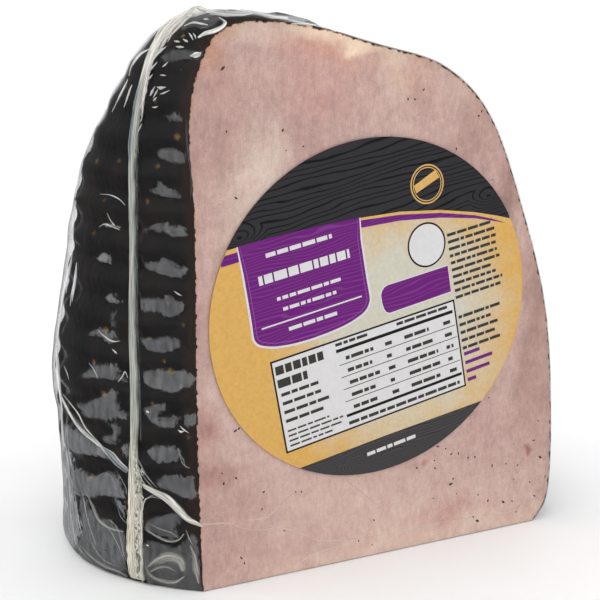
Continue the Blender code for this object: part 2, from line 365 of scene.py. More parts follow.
# Where the caramel glows amber: across, down, radius and strength
AMBER_PIXELS = (
    (95, 161, 3.0, 0.8), (116, 161, 3.0, 0.5), (156, 167, 3.5, 0.6), (177, 137, 4.0, 0.9),
    (182, 36, 2.8, 0.8), (155, 102, 2.5, 0.6), (121, 94, 2.5, 0.4), (180, 69, 2.2, 0.4),
    (102, 200, 3.0, 0.5), (145, 202, 3.2, 0.7), (92, 233, 3.2, 0.5), (103, 330, 3.8, 0.8),
    (91, 362, 3.2, 0.7), (183, 325, 3.2, 0.5), (147, 339, 3.0, 0.8), (139, 333, 2.4, 0.4),
    (170, 372, 4.2, 1.0), (164, 361, 2.8, 0.6), (165, 304, 3.4, 0.5), (103, 394, 4.0, 0.7),
    (152, 404, 3.0, 0.7), (89, 478, 3.6, 0.9), (124, 502, 3.0, 0.5), (157, 486, 2.8, 0.5),
    (188, 437, 3.4, 0.6), (178, 205, 2.4, 0.3), (197, 392, 2.6, 0.5), (186, 152, 3.0, 0.3),
)


def pixel_of(point_mm):
    """The photograph's pixel that shows a place."""
    arm = Vector(point_mm) - Vector(CAMERA_MM)
    right = SIGHT.cross(Vector((0.0, 0.0, 1.0))).normalized()
    scale = FOCAL_PIXELS / arm.dot(SIGHT)
    middle = IMAGE_PIXELS / 2
    return Vector((middle + scale * arm.dot(right), middle - scale * arm.dot(right.cross(SIGHT))))


def depth_inside(pixel, outline):
    """How far a pixel is inside an outline, or minus how far it is outside."""
    nearest = 1e9
    within = False
    for start, end in zip(outline, outline[1:] + outline[:1]):
        side = Vector((end[0] - start[0], end[1] - start[1]))
        arm = Vector((pixel.x - start[0], pixel.y - start[1]))
        share = min(max(arm.dot(side) / side.length_squared, 0.0), 1.0)
        nearest = min(nearest, (arm - side * share).length)
        if (start[1] <= pixel.y) != (end[1] <= pixel.y):
            if start[0] + side.x * (pixel.y - start[1]) / side.y > pixel.x:
                within = not within
    return nearest if within else -nearest


def patch_box(outline):
    """The box of pixels in which an outline can still be felt."""
    across, down = zip(*outline)
    reach = PATCH_REACH
    return min(across) - reach, max(across) + reach, min(down) - reach, max(down) + reach


PATCH_BOXES = [patch_box(outline) for strength, outline in PATCHES]


def bridging(point, facing):
    """How far inside a patch of painted grey reflection a place is, in pixels, and how strongly the
    painted reflection veils it.
    """
    reach = PATCH_REACH
    if facing > SEEN_FACING:
        pixel = pixel_of(point)
        best = (-reach, 0.17)
        for (left, right, low, high), (strength, outline) in zip(PATCH_BOXES, PATCHES):
            if left < pixel.x < right and low < pixel.y < high:
                inside = depth_inside(pixel, outline)
                if inside > best[0]:
                    best = (inside, strength)
        # The patches fade out just past the limb
        behind = 16.0 * max(-facing, 0.0)
        return max(min(best[0], reach) - behind, -reach), best[1]
    # Where the photograph shows nothing, ragged patches of painted grey reflection lie along the ribs
    rib = round(point.z / RIB_PITCH)
    around = math.atan2(point.y - WIDEST_LOW - 2.0, point.x - FACE_MIDDLE.x)
    spread = noise.noise(Vector((around * 3.3, rib * 7.3, 4.0)))
    up = abs(point.z - rib * RIB_PITCH) + 0.8 * noise.noise(Vector((around * 9.0, rib * 3.1, 1.0)))
    low = 1.0 - smooth_step(4.0, 26.0, point.z)
    flat = 6.0 * smooth_step(140.0, 152.0, point.z)
    return max(-reach, min(9.0 * spread + 3.0 * low, reach) - 1.6 * up - flat), 0.18


def amber(point):
    """How strongly the caramel shows amber at a place."""
    pixel = pixel_of(point)
    best = 0.0
    for across, down, radius, strength in AMBER_PIXELS:
        away = math.hypot(pixel.x - across, pixel.y - down) / (0.78 * radius)
        if away < 2.5:
            best = max(best, strength * math.exp(-(away**2)))
    return best


def film_lift(point):
    """How far the film stands off the ham beyond its usual gap."""
    if point.x > FACE_MIDDLE.x:
        return 0.0
    # Slack behind the widest place, loose film by the foot, and a rise to the seam
    lift = 0.9 * window(point.y, 37.0, 58.0, 9.0) * window(point.z, 52.0, 100.0, 9.0)
    slack = (1.0 - smooth_step(8.0, 32.0, point.z)) * smooth_step(1.0, 6.0, point.y)
    lift += 0.12 * slack * (0.5 + noise.noise(point * 0.16))
    return lift + 0.45 * window(point.y, 11.6, 13.2, 1.4)


def fine_bumps(point, size, seed):
    """Even roughness with bumps of a size in millimetres."""
    return noise.noise(Vector((point.x, point.y, point.z + seed)) / size)


def wrap_points(is_film):
    """The rings moved to the ham's own surface or to its film, and what shows there."""
    moved = []
    traits = []
    camera = Vector(CAMERA_MM)
    for ring, normals in zip(RINGS, NORMALS):
        line = []
        for point, normal in zip(ring, normals):
            is_left = point.x < FACE_MIDDLE.x
            facing = normal.dot((camera - point).normalized()) if is_left else -1.0
            across = Vector((normal.x, normal.y, 0.0))
            cut = groove(point, normal)
            if is_film:
                inside, strength = bridging(point, facing)
                traits.append((inside, strength))
                cut *= 1.0 - 0.85 * smooth_step(-1.0, 2.0, inside)
                # Seen edge on, the film runs straight from rib to rib
                limb = 1.0 - smooth_step(0.05, 0.35, abs(facing))
                cut *= 1.0 - 0.9 * limb * window(point.z, 20.0, 125.0, 10.0)
                out = FILM_GAP + film_lift(point) + 0.06 * fine_bumps(point, 2.2, 5.0)
                place = point - across * cut + normal * out
                place.z = max(place.z, 0.0)
            else:
                traits.append((point.y, amber(point) if facing > 0.0 else 0.0))
                rough = 0.22 * fine_bumps(point, 6.0, 0.0) + 0.1 * fine_bumps(point, 1.7, 9.0)
                rough *= smooth_step(0.0, 2.0, point.y)
                place = point - across * cut + normal * min(rough - 0.12, 0.0)
                place.z = max(place.z, 0.15)
            line.append(place)
        moved.append(line)
    return moved, traits


def wrap_mesh(name, is_film, materials):
    """Rings, crown, base and cut face in one closed mesh, with each point's traits."""
    rings, traits = wrap_points(is_film)
    heights = [ring[0].z for ring in RINGS]
    front = -FACE_FILM_GAP if is_film else 0.0
    face_rows = len([height for height in heights if height < top_of(FACE).y - 0.05])
    for line in rings[:face_rows]:
        line[0].y = front
        line[-1].y = front
    for line in rings[face_rows:]:
        middle = (line[0] + line[-1]) / 2
        line[0] = middle
        line[-1] = middle
    flat = [place for line in rings for place in line]
    width = len(rings[0])
    faces = []
    slots = []

    def add_face(corners, slot):
        """A face, less the corners that come twice."""
        faces.append(tuple(dict.fromkeys(corners)))
        slots.append(slot)

    def add_point(place, edge):
        """A point beyond the rings, and its number."""
        flat.append(place)
        traits.append((-4.0, 0.0))
        edges.append(edge)
        return len(flat) - 1

    for row in range(len(rings) - 1):
        for index in range(width - 1):
            start = row * width + index
            add_face((start, start + 1, start + width + 1, start + width), 0)
    edges = [0.0] * len(flat)
    crown = add_point(sum(rings[-1], Vector()) / width, 99.0)
    last = (len(rings) - 1) * width
    for index in range(width - 1):
        add_face((last + index, last + index + 1, crown), 0)
    left = [row * width for row in range(face_rows)]
    right = [row * width + width - 1 for row in reversed(range(face_rows))]
    crest = []
    for point in FACE:
        if flat[left[-1]].x < point.x < flat[right[0]].x and point.y > heights[face_rows - 1]:
            crest.append(add_point(Vector((point.x, front, point.y)), 0.0))
    over = face_rows * width
    for start, after in zip([left[-1]] + crest, crest + [right[0]]):
        add_face((over, after, start), 0)
    bottom = []
    for step in range(1, BASE_STEPS):
        place = flat[right[-1]].lerp(flat[left[0]], step / BASE_STEPS)
        bottom.append(add_point(place, 99.0))
    ring = rim = left + crest + right + bottom
    centre = add_point(Vector((FACE_MIDDLE.x, front, FACE_MIDDLE.z)), 99.0)
    for inset in FACE_RINGS[1:] + (None,):
        inner = []
        for index in rim:
            if inset is None:
                inner.append(centre)
            else:
                arm = flat[index] - flat[centre]
                place = flat[index] - arm * min(inset / arm.length, 0.9)
                inner.append(add_point(place, 99.0 if index in bottom else inset))
        for place in range(len(rim)):
            after = (place + 1) % len(rim)
            add_face((ring[place], ring[after], inner[after], inner[place]), 1)
        ring = inner
    base = list(range(width)) + bottom
    foot = add_point(sum((flat[index] for index in base), Vector()) / len(base), 99.0)
    for place in range(len(base)):
        add_face((base[(place + 1) % len(base)], base[place], foot), 0)
    mesh = bpy.data.meshes.new(name)
    mesh.from_pydata([on_ham(place) for place in flat], [], faces)
    for label, part in (("first", 0), ("second", 1)):
        layer = mesh.attributes.new(label, "FLOAT", "POINT")
        layer.data.foreach_set("value", [trait[part] for trait in traits])
    mesh.attributes.new("edge", "FLOAT", "POINT").data.foreach_set("value", edges)
    mesh.polygons.foreach_set("material_index", slots)
    for item in materials:
        mesh.materials.append(item)
    return tidy_mesh(name, mesh)


def placed(name, data):
    """A new object with its data, in the scene."""
    piece = bpy.data.objects.new(name, data)
    bpy.context.scene.collection.objects.link(piece)
    return piece


def tidy_mesh(name, mesh):
    """Merged, outward facing and smooth, as an object of its own."""
    shape = bmesh.new()
    shape.from_mesh(mesh)
    bmesh.ops.remove_doubles(shape, verts=shape.verts, dist=0.01 * MM)
    bmesh.ops.recalc_face_normals(shape, faces=shape.faces)
    shape.to_mesh(mesh)
    shape.free()
    mesh.shade_smooth()
    mesh.set_sharp_from_angle(angle=math.radians(55.0))
    return placed(name, mesh)


def mesh_of(name, shape):
    """A mesh with what was built up in a shape, which is then let go."""
    mesh = bpy.data.meshes.new(name)
    shape.to_mesh(mesh)
    shape.free()
    return mesh


def colour(code):
    """An sRGB hex colour as the linear colour that a shader takes."""
    parts = []
    for start in (0, 2, 4):
        part = int(code[start : start + 2], 16) / 255.0
        parts.append(part / 12.92 if part <= 0.04045 else ((part + 0.055) / 1.055) ** 2.4)
    return (*parts, 1.0)


def add(tree, kind, inputs=None, **settings):
    """A new node with its settings, and its inputs set to values or linked to outputs."""
    node = tree.nodes.new(kind)
    for name, value in settings.items():
        setattr(node, name, value)
    for name, value in (inputs or {}).items():
        if isinstance(value, bpy.types.NodeSocket):
            tree.links.new(value, node.inputs[name])
        else:
            node.inputs[name].default_value = value
    return node


def new_material(name):
    """An empty material and its tree."""
    made = bpy.data.materials.new(name)
    made.use_nodes = True
    made.node_tree.nodes.clear()
    return made, made.node_tree


def show(tree, shader):
    """What the surface shows."""
    add(tree, "ShaderNodeOutputMaterial", {"Surface": shader})


def surface_place(tree):
    """The place on the surface, in metres in the pack's frame."""
    return add(tree, "ShaderNodeTexCoord").outputs["Object"]


def speckle(tree, place, size_mm, detail=2.0, stretch=None, turn=0.0):
    """Noise with features of a size in millimetres, drawn out along an axis by stretch."""
    if stretch:
        place = add(
            tree,
            "ShaderNodeMapping",
            {"Vector": place, "Scale": stretch, "Rotation": (0.0, turn, 0.0)},
        ).outputs["Vector"]
    inputs = {"Vector": place, "Scale": 1.0 / (size_mm * MM), "Detail": detail}
    return add(tree, "ShaderNodeTexNoise", inputs).outputs["Fac"]


def between(tree, value, low, high, to_low=0.0, to_high=1.0):
    """A value brought from one range to another, and held at the ends."""
    given = {"Value": value, "From Min": low, "From Max": high, "To Min": to_low, "To Max": to_high}
    return add(tree, "ShaderNodeMapRange", given).outputs["Result"]


def sums(tree, operation, first, second):
    """Two numbers taken together."""
    node = add(tree, "ShaderNodeMath", operation=operation)
    for socket, value in zip(node.inputs, (first, second)):
        if isinstance(value, bpy.types.NodeSocket):
            tree.links.new(value, socket)
        else:
            socket.default_value = value
    return node.outputs["Value"]


def all_of(tree, first, *others):
    """Several shares multiplied."""
    for other in others:
        first = sums(tree, "MULTIPLY", first, other)
    return first


def blend(tree, share, first, second, mode="MIX"):
    """Two colours mixed; each is a hex code or a colour output."""
    node = add(tree, "ShaderNodeMix", data_type="RGBA", blend_type=mode)
    for socket, value in ((node.inputs[0], share), (node.inputs[6], first), (node.inputs[7], second)):
        if isinstance(value, bpy.types.NodeSocket):
            tree.links.new(value, socket)
        else:
            socket.default_value = colour(value) if isinstance(value, str) else value
    return node.outputs[2]


def carried(tree, name):
    """A mesh attribute's value."""
    return add(tree, "ShaderNodeAttribute", attribute_name=name).outputs["Fac"]


# Fat and leaner muscle in the cut face: middle, half sizes in millimetres, turn in degrees,
# colour and strength
FACE_FIELDS = (
    (17.0, 119.0, 9.0, 15.0, 20.0, "E0D6CA", 0.85),
    (16.0, 160.0, 17.0, 3.2, 0.0, "D3C7BC", 0.7),
    (46.0, 158.5, 17.0, 3.0, 14.0, "F3DFCA", 0.95),
    (40.0, 154.0, 18.0, 3.5, 14.0, "D6A691", 0.5),
    (66.0, 148.0, 5.0, 9.0, -18.0, "DFCFBE", 0.9),
    (72.0, 144.0, 7.0, 6.0, 30.0, "B09288", 0.7),
    (40.0, 145.0, 14.0, 8.0, 10.0, "C6A098", 0.6),
    (94.0, 130.0, 8.0, 14.0, 35.0, "AB9089", 0.55),
    (105.0, 105.0, 5.0, 22.0, 20.0, "987F78", 0.75),
    (118.0, 70.0, 5.0, 30.0, 10.0, "9F867D", 0.7),
    (6.0, 147.0, 6.0, 6.0, 0.0, "B6948C", 0.5),
    (2.0, 48.0, 5.0, 7.0, 0.0, "AC8781", 0.8),
    (4.0, 35.0, 8.0, 4.0, 0.0, "A7837D", 0.7),
    (86.0, 8.0, 14.0, 3.2, 5.0, "B59088", 0.75),
    (60.0, 2.0, 60.0, 5.0, 0.0, "DDC6B8", 0.75),
    (108.0, 3.0, 14.0, 4.0, 5.0, "D3BFB1", 0.8),
    (45.0, 22.0, 20.0, 8.0, 0.0, "CFB8AE", 0.6),
    (117.6, 24.7, 1.3, 1.3, 0.0, "9C665D", 0.9),
    (78.5, 27.0, 1.6, 1.2, 0.0, "A67B72", 0.7),
    (13.0, 8.0, 14.0, 7.0, 0.0, "BC9E9A", 0.6),
    (8.0, 124.0, 12.0, 20.0, 0.0, "B0938E", 0.55),
    (119.0, 46.0, 10.0, 18.0, 0.0, "AC8F88", 0.6),
    (10.0, 23.0, 12.0, 9.0, 0.0, "B3958F", 0.55),
    (72.0, 8.0, 46.0, 12.0, 0.0, "DCC5BA", 0.6),
    (42.0, 20.0, 16.0, 9.0, 0.0, "D4BDB2", 0.5),
    (87.0, 10.0, 7.0, 4.0, 0.0, "BF9B93", 0.6),
    (47.0, 157.5, 10.0, 3.2, 14.0, "F8E0CA", 0.95),
    (4.0, 154.0, 4.5, 5.0, 0.0, "B98C6F", 0.6),
    (7.0, 159.5, 6.0, 3.0, 0.0, "BE9375", 0.5),
    (70.0, 146.5, 12.0, 5.0, 14.0, "D2B5A8", 0.5),
)


# Mottling of the cut face: strength, size in millimetres, detail, upright stretch and lean, the
# range that it is brought from and to, dark and pale
CUT_MOTTLING = (
    (0.3, 4.5, 4.0, 0.6, 0.0, (0.3, 0.7, 0.2, 0.8), "8A7A78", "E9DFDB"),
    (0.12, 1.6, 4.0, 0.7, 0.0, (0.35, 0.65), "7F7674", "EFE8E6"),
    (0.07, 0.5, 2.0, 0.14, 0.06, (0.3, 0.7), "6E4038", "FFEDE0"),
    (0.1, 0.5, 2.0, 1.0, 0.0, (0.3, 0.7), "5A3A34", "FFF2EA"),
)


def oval_reach(tree, place, x, z, half_x, half_z, turn):
    """How far a place is from the middle of an oval on the cut face: 1 at its rim."""
    given = {
        "Vector": place,
        "Location": on_ham((x, 0.0, z)),
        "Rotation": (0.0, turn, 0.0),
        "Scale": (half_x * MM, 1.0, half_z * MM),
    }
    own = add(tree, "ShaderNodeMapping", given, vector_type="TEXTURE").outputs["Vector"]
    return add(tree, "ShaderNodeVectorMath", {0: own}, operation="LENGTH").outputs["Value"]


def body_of(tree, shade, roughness, gloss, ior=1.5, relief=None, extra=None):
    """A solid body; relief is what raises it, how strongly, and how high in millimetres."""
    given = {"Base Color": shade, "Roughness": roughness, "IOR": ior, "Specular IOR Level": gloss}
    given.update(extra or {})
    if relief:
        height, strength, depth_mm = relief
        raised = {"Height": height, "Strength": strength, "Distance": depth_mm * MM}
        given["Normal"] = add(tree, "ShaderNodeBump", raised).outputs["Normal"]
    return add(tree, "ShaderNodeBsdfPrincipled", given).outputs["BSDF"]


def cut_ham():
    """Cured ham, sliced: pink lean with cream fat in soft fields, faint upright fibres, moist."""
    made, tree = new_material("cured_ham_cut")
    place = surface_place(tree)
    given = {"Vector": place, "Scale": 1.0 / (9.0 * MM), "Detail": 4.0}
    shift = add(tree, "ShaderNodeTexNoise", given).outputs["Color"]
    given = {0: shift, 1: (0.5, 0.5, 0.5)}
    shift = add(tree, "ShaderNodeVectorMath", given, operation="SUBTRACT").outputs["Vector"]
    given = {0: shift, "Scale": 11.0 * MM}
    shift = add(tree, "ShaderNodeVectorMath", given, operation="SCALE").outputs["Vector"]
    given = {0: place, 1: shift}
    moved = add(tree, "ShaderNodeVectorMath", given, operation="ADD").outputs["Vector"]
    lean = between(tree, speckle(tree, place, 30.0, 3.0), 0.35, 0.65)
    shade = blend(tree, lean, "B99F9A", "C7B0A9")
    for x, z, half_x, half_z, turn, code, strength in FACE_FIELDS:
        reach = oval_reach(tree, moved, x, z, half_x, half_z, math.radians(turn))
        shade = blend(tree, between(tree, reach, 1.5, 0.3, 0.0, strength), shade, code)
    for share, size_mm, detail, upright, lean_by, span, dark, pale in CUT_MOTTLING:
        marks = speckle(tree, place, size_mm, detail, (1.0, 1.0, upright), lean_by)
        marks = between(tree, marks, *span)
        shade = blend(tree, share, shade, blend(tree, marks, dark, pale), "OVERLAY")
    edge = carried(tree, "edge")
    ragged = between(tree, speckle(tree, place, 1.5, 5.0), 0.3, 0.7, -0.55, 0.55)
    ragged = sums(tree, "ADD", edge, ragged)
    up = add(tree, "ShaderNodeSeparateXYZ", {"Vector": place}).outputs["Z"]
    scorched = between(tree, up, 118.0 * MM, 150.0 * MM, 0.25, 0.9)
    shade = blend(tree, between(tree, edge, 4.0, 0.3, 0.0, 0.2), shade, "A88674")
    rim = all_of(tree, between(tree, ragged, 0.6, 0.3), scorched)
    shade = blend(tree, rim, shade, "A5764F")
    shade = blend(tree, between(tree, ragged, 0.22, 0.12), shade, "2A1F1B")
    flesh = {
        "Subsurface Weight": 0.12,
        "Subsurface Radius": (1.0, 0.45, 0.3),
        "Subsurface Scale": 1.5 * MM,
    }
    grain = speckle(tree, place, 1.6, 3.0)
    show(tree, body_of(tree, shade, 0.5, 0.25, 1.4, (grain, 0.25, 0.15), flesh))
    return made


def glazed_rind():
    """Smoked rind under set caramel: nearly black, browner where it is thin by the cut edge."""
    made, tree = new_material("caramel_glazed_rind")
    place = surface_place(tree)
    cloud = between(tree, speckle(tree, place, 9.0, 4.0), 0.45, 0.75)
    shade = blend(tree, cloud, "1E1D1E", "292220")
    uneven = between(tree, speckle(tree, place, 3.0, 3.0), 0.3, 0.7, -1.6, 1.6)
    thin = sums(tree, "ADD", carried(tree, "first"), uneven)
    shade = blend(tree, between(tree, thin, 3.0, 1.2, 0.0, 0.7), shade, "33261E")
    broken = between(tree, speckle(tree, place, 0.9, 2.0), 0.3, 0.7, 0.5, 1.5)
    spot = all_of(tree, carried(tree, "second"), broken)
    shade = blend(tree, between(tree, spot, 0.15, 0.85, 0.0, 0.75), shade, "8A6834")
    grain = speckle(tree, place, 1.2, 4.0)
    show(tree, body_of(tree, shade, 0.42, 0.3, 1.48, (grain, 0.4, 0.2)))
    return made


def clear_film():
    """Clear co-extruded film: glossy, invisible where it is wetted down, with a painted grey reflection
    where air is behind.
    """
    made, tree = new_material("clear_vacuum_film")
    place = surface_place(tree)
    ragged = between(tree, speckle(tree, place, 0.9, 4.0, (1.0, 1.0, 0.55)), 0.3, 0.7, -1.7, 1.5)
    frayed = speckle(tree, place, 0.32, 2.0, (1.0, 1.0, 0.28), 0.25)
    frayed = between(tree, frayed, 0.3, 0.7, -1.5, 1.3)
    ragged = sums(tree, "ADD", ragged, frayed)
    patch = between(tree, sums(tree, "ADD", carried(tree, "first"), ragged), -0.4, 0.4)
    brushed = speckle(tree, place, 1.6, 5.0, (1.0, 1.0, 0.3), 0.3)
    brushed = between(tree, brushed, 0.25, 0.75, 0.5, 1.5)
    # The share of painted grey reflection on slack film that bridges the grooves
    painted_reflection_share = all_of(tree, carried(tree, "second"), brushed, patch)
    swell = speckle(tree, place, 4.0, 3.0)
    given = {"Height": swell, "Strength": 0.3, "Distance": 0.3 * MM}
    bump = add(tree, "ShaderNodeBump", given).outputs["Normal"]
    given = {"Color": colour("FFFFFF"), "Roughness": 0.16, "Normal": bump}
    gloss = add(tree, "ShaderNodeBsdfAnisotropic", given).outputs["BSDF"]
    through = add(tree, "ShaderNodeBsdfTransparent").outputs["BSDF"]
    grazing = add(tree, "ShaderNodeLayerWeight", {"Blend": 0.5, "Normal": bump}).outputs["Facing"]
    shine = between(tree, sums(tree, "POWER", grazing, 5.0), 0.0, 1.0, 0.05, 1.0)
    clear = add(tree, "ShaderNodeMixShader", {0: shine, 1: through, 2: gloss}).outputs["Shader"]
    # A plain grey, painted in as the slack film's reflection
    painted_reflection_grey = add(tree, "ShaderNodeBsdfDiffuse", {"Color": colour("C6C8CB")}).outputs["BSDF"]
    show(tree, add(tree, "ShaderNodeMixShader", {0: painted_reflection_share, 1: clear, 2: painted_reflection_grey}).outputs["Shader"])
    return made


def film_lines(tree, stretch, size_mm):
    """A fold's own place, across and along it, and the fine lines that run with it."""
    own = add(tree, "ShaderNodeTexCoord").outputs["UV"]
    return own, speckle(tree, own, size_mm, 3.0, (1.0, stretch, 1.0))


def show_film(tree, lines, shade, cover, gloss):
    """Whitened film that hides a share of what is behind it, with relief along its lines."""
    body = body_of(tree, shade, 0.25, gloss, relief=(lines, 0.5, 0.2))
    through = add(tree, "ShaderNodeBsdfTransparent").outputs["BSDF"]
    show(tree, add(tree, "ShaderNodeMixShader", {0: cover, 1: through, 2: body}).outputs["Shader"])


def creased_film(name, pale, dark, opacity, size_mm, feather):
    """Film folded on itself: whitened along the fold, with fine lines that run with it; the white and
    limb looks paint a highlight along it.
    """
    made, tree = new_material(name)
    lines = film_lines(tree, 0.05, size_mm)[1]
    shade = blend(tree, between(tree, lines, 0.35, 0.62), dark, pale)
    cover = between(tree, lines, 0.3, 0.65, opacity * 0.55, opacity)
    cover = all_of(tree, cover, between(tree, carried(tree, "side"), 1.0, feather))
    show_film(tree, lines, shade, cover, 0.6)
    return made


def sealed_film():
    """The welded fin of four layers: milky, with fine pressed lines, whiter where it is crumpled, and
    painted shade in the dents at its foot.
    """
    made, tree = new_material("heat_sealed_film")
    own, lines = film_lines(tree, 0.03, 0.3)
    fine = between(tree, lines, 0.38, 0.6)
    place = surface_place(tree)
    side = add(tree, "ShaderNodeSeparateXYZ", {"Vector": own}).outputs["X"]
    place_parts = add(tree, "ShaderNodeSeparateXYZ", {"Vector": place}).outputs
    across, height = place_parts["X"], place_parts["Z"]
    low = between(tree, height, 50.0 * MM, 30.0 * MM)
    # Darker specks on one side of the seam's foot: painted shade in its dents
    shaded_dents = all_of(
        tree,
        low,
        between(tree, side, -0.1 * MM, -0.5 * MM),
        between(tree, side, -2.5 * MM, -2.0 * MM),
        between(tree, speckle(tree, place, 1.3, 4.0), 0.57, 0.47),
    )
    high = between(tree, height, 140.0 * MM, 150.0 * MM)
    past_peak = between(tree, across, on_ham((12.0, 0.0, 0.0)).x, on_ham((17.0, 0.0, 0.0)).x)
    back = all_of(
        tree,
        between(tree, side, -0.1 * MM, 0.2 * MM),
        between(tree, height, 122.0 * MM, 126.0 * MM),
        between(tree, height, 147.0 * MM, 142.0 * MM),
    )
    shade = blend(tree, between(tree, lines, 0.35, 0.62), "878A84", "BBBDB3")
    for zone, dark, pale in (
        (low, "9A9586", "EDE8D8"),
        (shaded_dents, "74756F", "74756F"),
        (high, "B0AFA9", "F3F1EB"),
        (all_of(tree, past_peak, high), "4E5054", "C0C3C6"),
        (back, "4E565A", "8A9296"),
    ):
        shade = blend(tree, zone, shade, blend(tree, fine, dark, pale))
    show_film(tree, lines, shade, between(tree, lines, 0.3, 0.6, 0.8, 1.0), 0.5)
    return made


def label_paper():
    """Printed paper under a matt varnish: cream in the middle, golden towards the rim, mottled."""
    made, tree = new_material("printed_label_paper")
    place = surface_place(tree)
    x, z = LABEL_CENTRE_MM[0] + 10.0, LABEL_CENTRE_MM[1] - 6.5
    reach = oval_reach(tree, place, x, z, 46.0, 46.0, -PRINT_TURN)
    mottle = between(tree, speckle(tree, place, 7.0, 5.0), 0.3, 0.7, -0.1, 0.1)
    gold = between(tree, sums(tree, "ADD", reach, mottle), 0.45, 1.0)
    shade = blend(tree, gold, "C4C1B4", "CDA35C")
    grain = between(tree, speckle(tree, place, 1.0, 3.0), 0.3, 0.7)
    shade = blend(tree, 0.1, shade, blend(tree, grain, "7A6A48", "F5EAD0"), "OVERLAY")
    show(tree, body_of(tree, shade, 0.6, 0.1))
    return made


# Knots in the drawn wood grain: x, z and half sizes
KNOTS_MM = ((12.6, 102.3, 9.0, 4.5), (98.5, 109.0, 8.0, 4.0), (52.0, 30.0, 9.0, 3.0))


def printed_ink(name, code, line_code, line_mm, share):
    """Printed ink with a faint drawn wood grain that runs along the print."""
    made, tree = new_material(name)
    place = surface_place(tree)
    given = {"Vector": place, "Rotation": (0.0, PRINT_TURN, 0.0)}
    own = add(tree, "ShaderNodeMapping", given).outputs["Vector"]
    given = {"Vector": own, "Scale": (0.22, 1.0, 1.0)}
    swell = add(tree, "ShaderNodeMapping", given).outputs["Vector"]
    given = {"Vector": swell, "Scale": 1.0 / (7.0 * MM), "Detail": 2.0, "Roughness": 0.4}
    drift = add(tree, "ShaderNodeTexNoise", given).outputs["Fac"]
    flow = add(tree, "ShaderNodeSeparateXYZ", {"Vector": own}).outputs["Z"]
    flow = sums(tree, "ADD", flow, between(tree, drift, 0.0, 1.0, -4.0 * MM, 4.0 * MM))
    for x, z, half_x, half_z in KNOTS_MM:
        reach = oval_reach(tree, place, x, z, half_x, half_z, -PRINT_TURN)
        flow = sums(tree, "ADD", flow, between(tree, reach, 0.0, 1.0, 7.0 * MM, 0.0))
    lines = add(tree, "ShaderNodeCombineXYZ", {"Z": flow}).outputs["Vector"]
    waves = add(
        tree,
        "ShaderNodeTexWave",
        {"Vector": lines, "Scale": 0.314 / (line_mm * MM)},
        wave_type="BANDS",
        bands_direction="Z",
        wave_profile="SIN",
    ).outputs["Fac"]
    shade = blend(tree, between(tree, waves, 0.0, 0.22, share, 0.0), code, line_code)
    show(tree, body_of(tree, shade, 0.6, 0.1))
    return made


def plain_finish(name, code, code_2, size_mm, roughness):
    """A finish of two close colours in small speckles."""
    made, tree = new_material(name)
    share = between(tree, speckle(tree, surface_place(tree), size_mm, 2.0), 0.35, 0.65)
    show(tree, body_of(tree, blend(tree, share, code, code_2), roughness, 0.1))
    return made


def sight_through(pixel):
    """The camera's place and the direction of its line of sight through a pixel."""
    right = SIGHT.cross(Vector((0.0, 0.0, 1.0))).normalized()
    up = right.cross(SIGHT)
    across = (pixel[0] - IMAGE_PIXELS / 2) / FOCAL_PIXELS
    down = (pixel[1] - IMAGE_PIXELS / 2) / FOCAL_PIXELS
    return on_ham(CAMERA_MM), (SIGHT + right * across - up * down).normalized()


def tree_of(*pieces):
    """The pieces' surfaces, ready for lines of sight to find."""
    corners = []
    faces = []
    for piece in pieces:
        start = len(corners)
        corners += [vert.co.copy() for vert in piece.data.vertices]
        for face in piece.data.polygons:
            faces.append(tuple(start + index for index in face.vertices))
    return BVHTree.FromPolygons(corners, faces)


def seen_at(skin, pixel):
    """The place on a skin that a pixel shows and the outward direction there, or None."""
    origin, direction = sight_through(pixel)
    place, normal = skin.ray_cast(origin, direction)[:2]
    return None if place is None else (place, normal)


# Steps between a fold's given pixels, and how many steps to each side the slack film spans
FOLD_STEPS = 7
SPAN_STEPS = 9
EVEN_STEPS = 7

# A fold's section across it, with its foot sunk in the film, and the flat seam's with its lines
FOLD_SECTION = ((-1.0, -0.3), (-0.65, 0.55), (0.0, 1.0), (0.65, 0.55), (1.0, -0.3))
SEAM_SECTION = (
    (-1.0, -0.6), (-1.02, 0.55), (-0.9, 0.92), (-0.62, 0.86), (-0.45, 1.0), (-0.2, 0.84), (0.05, 1.0),
    (0.3, 0.8), (0.55, 0.98), (0.82, 0.86), (1.0, 0.5), (1.0, -0.6),
)


def strip_mesh(name, strips, section):
    """Closed strips; a row is its centre, its directions across and outward, half width and height."""
    corners = []
    faces = []
    maps = []
    sides = []
    for rows in strips:
        start = len(corners)
        count = len(section)
        run = 0.0
        for number, (centre, across, outward, half, height) in enumerate(rows):
            if number:
                run += (centre - rows[number - 1][0]).length
            for side, rise in section:
                corner = centre + across * side * half + outward * rise * height
                corner.z = max(corner.z, 0.0)
                corners.append(corner)
                maps.append((side * half, run))
                sides.append(abs(side))
        for number in range(len(rows) - 1):
            for index in range(count):
                after = (index + 1) % count
                low = start + number * count
                faces.append((low + index, low + after, low + count + after, low + count + index))
        faces.append(tuple(range(start, start + count)))
        faces.append(tuple(reversed(range(len(corners) - count, len(corners)))))
    mesh = bpy.data.meshes.new(name)
    mesh.from_pydata(corners, [], faces)
    layer = mesh.uv_layers.new(name="along")
    for loop in mesh.loops:
        layer.data[loop.index].uv = maps[loop.vertex_index]
    mesh.attributes.new("side", "FLOAT", "POINT").data.foreach_set("value", sides)
    return tidy_mesh(name, mesh)


def taut(spots, camera):
    """The spots moved along their lines of sight, so that they run straight from rib to rib."""
    away = [(place - camera).length for share, place, normal in spots]
    nearest = []
    for number in range(len(away)):
        around = away[max(number - SPAN_STEPS, 0) : number + SPAN_STEPS + 1]
        nearest.append(min(around))
    moved = []
    for number, (share, place, normal) in enumerate(spots):
        around = nearest[max(number - EVEN_STEPS, 0) : number + EVEN_STEPS + 1]
        sight = (place - camera).normalized()
        moved.append((share, camera + sight * (sum(around) / len(around)), normal))
    return moved


